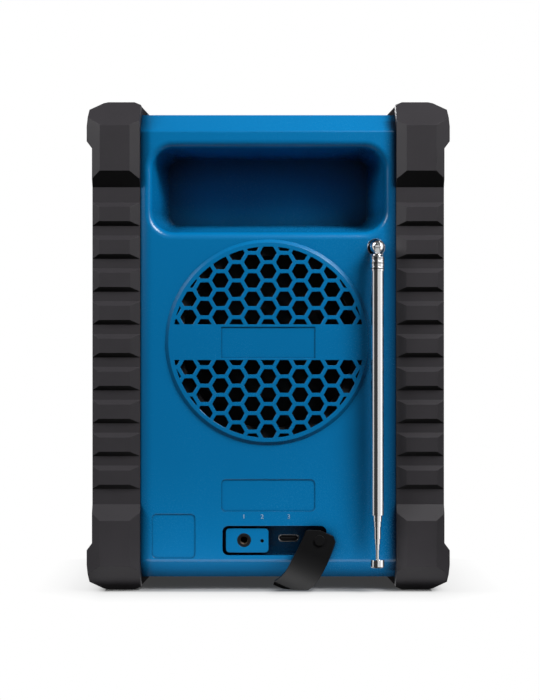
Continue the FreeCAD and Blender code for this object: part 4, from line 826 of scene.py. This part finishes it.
low_card("low_card", 0.026, SHELLS)
low_card("low_card_dimmer", 0.012, RUBBER)
mast_card("mast_card_right", (0.62, -0.60, 0.1), (1.5, 1.4), 4.6)
mast_card("mast_card_side", (0.75, -0.05, 0.1), (0.9, 1.4), 2.0)
mast_card("mast_card_left", (-0.6, -0.2, 0.1), (0.3, 1.4), 0.8)
print("lamps in all:", len(bpy.data.lights))

# %% [markdown]
# ## The room
# The world is white to the camera and nearly dark to everything else, so the lamps alone shape
# the radio. Gloss also sees a pale backdrop, but only behind the radio, where it brightens edges.

# %% World
ROOM_GLOW = 0.04
BACKDROP_GLOW = 0.6


def make_room():
    world = bpy.data.worlds.new("studio_room")
    bpy.context.scene.world = world
    world.use_nodes = True
    tree = world.node_tree
    background = tree.nodes["Background"]
    background.inputs["Color"].default_value = (1.0, 1.0, 1.0, 1.0)
    path = tree.nodes.new("ShaderNodeLightPath")
    direction = tree.nodes.new("ShaderNodeTexCoord").outputs["Generated"]
    split = tree.nodes.new("ShaderNodeSeparateXYZ")
    tree.links.new(direction, split.inputs[0])

    def number(operation, first, second, third=0.0):
        node = tree.nodes.new("ShaderNodeMath")
        node.operation = operation
        node.use_clamp = True
        for socket, value in zip(node.inputs, (first, second, third)):
            if isinstance(value, float):
                socket.default_value = value
            else:
                tree.links.new(value, socket)
        return node.outputs[0]

    behind = number("MULTIPLY_ADD", split.outputs[1], 1.6, -0.4)
    glossy = number("MAXIMUM", path.outputs["Is Glossy Ray"], path.outputs["Is Transmission Ray"])
    backdrop = number("MULTIPLY", glossy, behind)
    dim = number("MULTIPLY_ADD", backdrop, BACKDROP_GLOW, ROOM_GLOW)
    strength = number("MAXIMUM", path.outputs["Is Camera Ray"], dim)
    tree.links.new(strength, background.inputs["Strength"])


make_room()
print("room glow:", ROOM_GLOW)

# %% [markdown]
# ## The camera
# The photograph's frame is 540 by 700 pixels, and standard sockets in it give the scale at the
# rear face. Those, and the distance at which the outlines match the photograph's, fix the lens.

# %% Camera
SCALE_MM_PER_PIXEL = 0.428
IMAGE_WIDTH, IMAGE_HEIGHT = 540, 700
OBJECT_MIDDLE_PIXEL = 268.2
FLOOR_PIXEL = 591.1
CAMERA_FROM_REAR_FACE = 0.70
SENSOR_HEIGHT_MM = 24.0


def make_camera():
    """A level camera whose frame shows the rear face at the photograph's scale."""
    metres_per_pixel = SCALE_MM_PER_PIXEL * MM
    lens = bpy.data.cameras.new("studio_camera")
    lens.sensor_fit = "VERTICAL"
    lens.sensor_height = SENSOR_HEIGHT_MM
    lens.lens = SENSOR_HEIGHT_MM * CAMERA_FROM_REAR_FACE / (IMAGE_HEIGHT * metres_per_pixel)
    lens.clip_start = 0.01
    camera = bpy.data.objects.new("studio_camera", lens)
    bpy.context.collection.objects.link(camera)
    across = (IMAGE_WIDTH / 2 - OBJECT_MIDDLE_PIXEL) * metres_per_pixel
    up = (FLOOR_PIXEL - IMAGE_HEIGHT / 2) * metres_per_pixel
    camera.location = (across, REAR_FACE_MM * MM - CAMERA_FROM_REAR_FACE, up)
    camera.rotation_euler = (math.radians(90), 0, 0)
    bpy.context.scene.camera = camera
    return lens


print("lens in millimetres:", round(make_camera().lens, 1))
bpy.context.scene.view_settings.view_transform = "Standard"
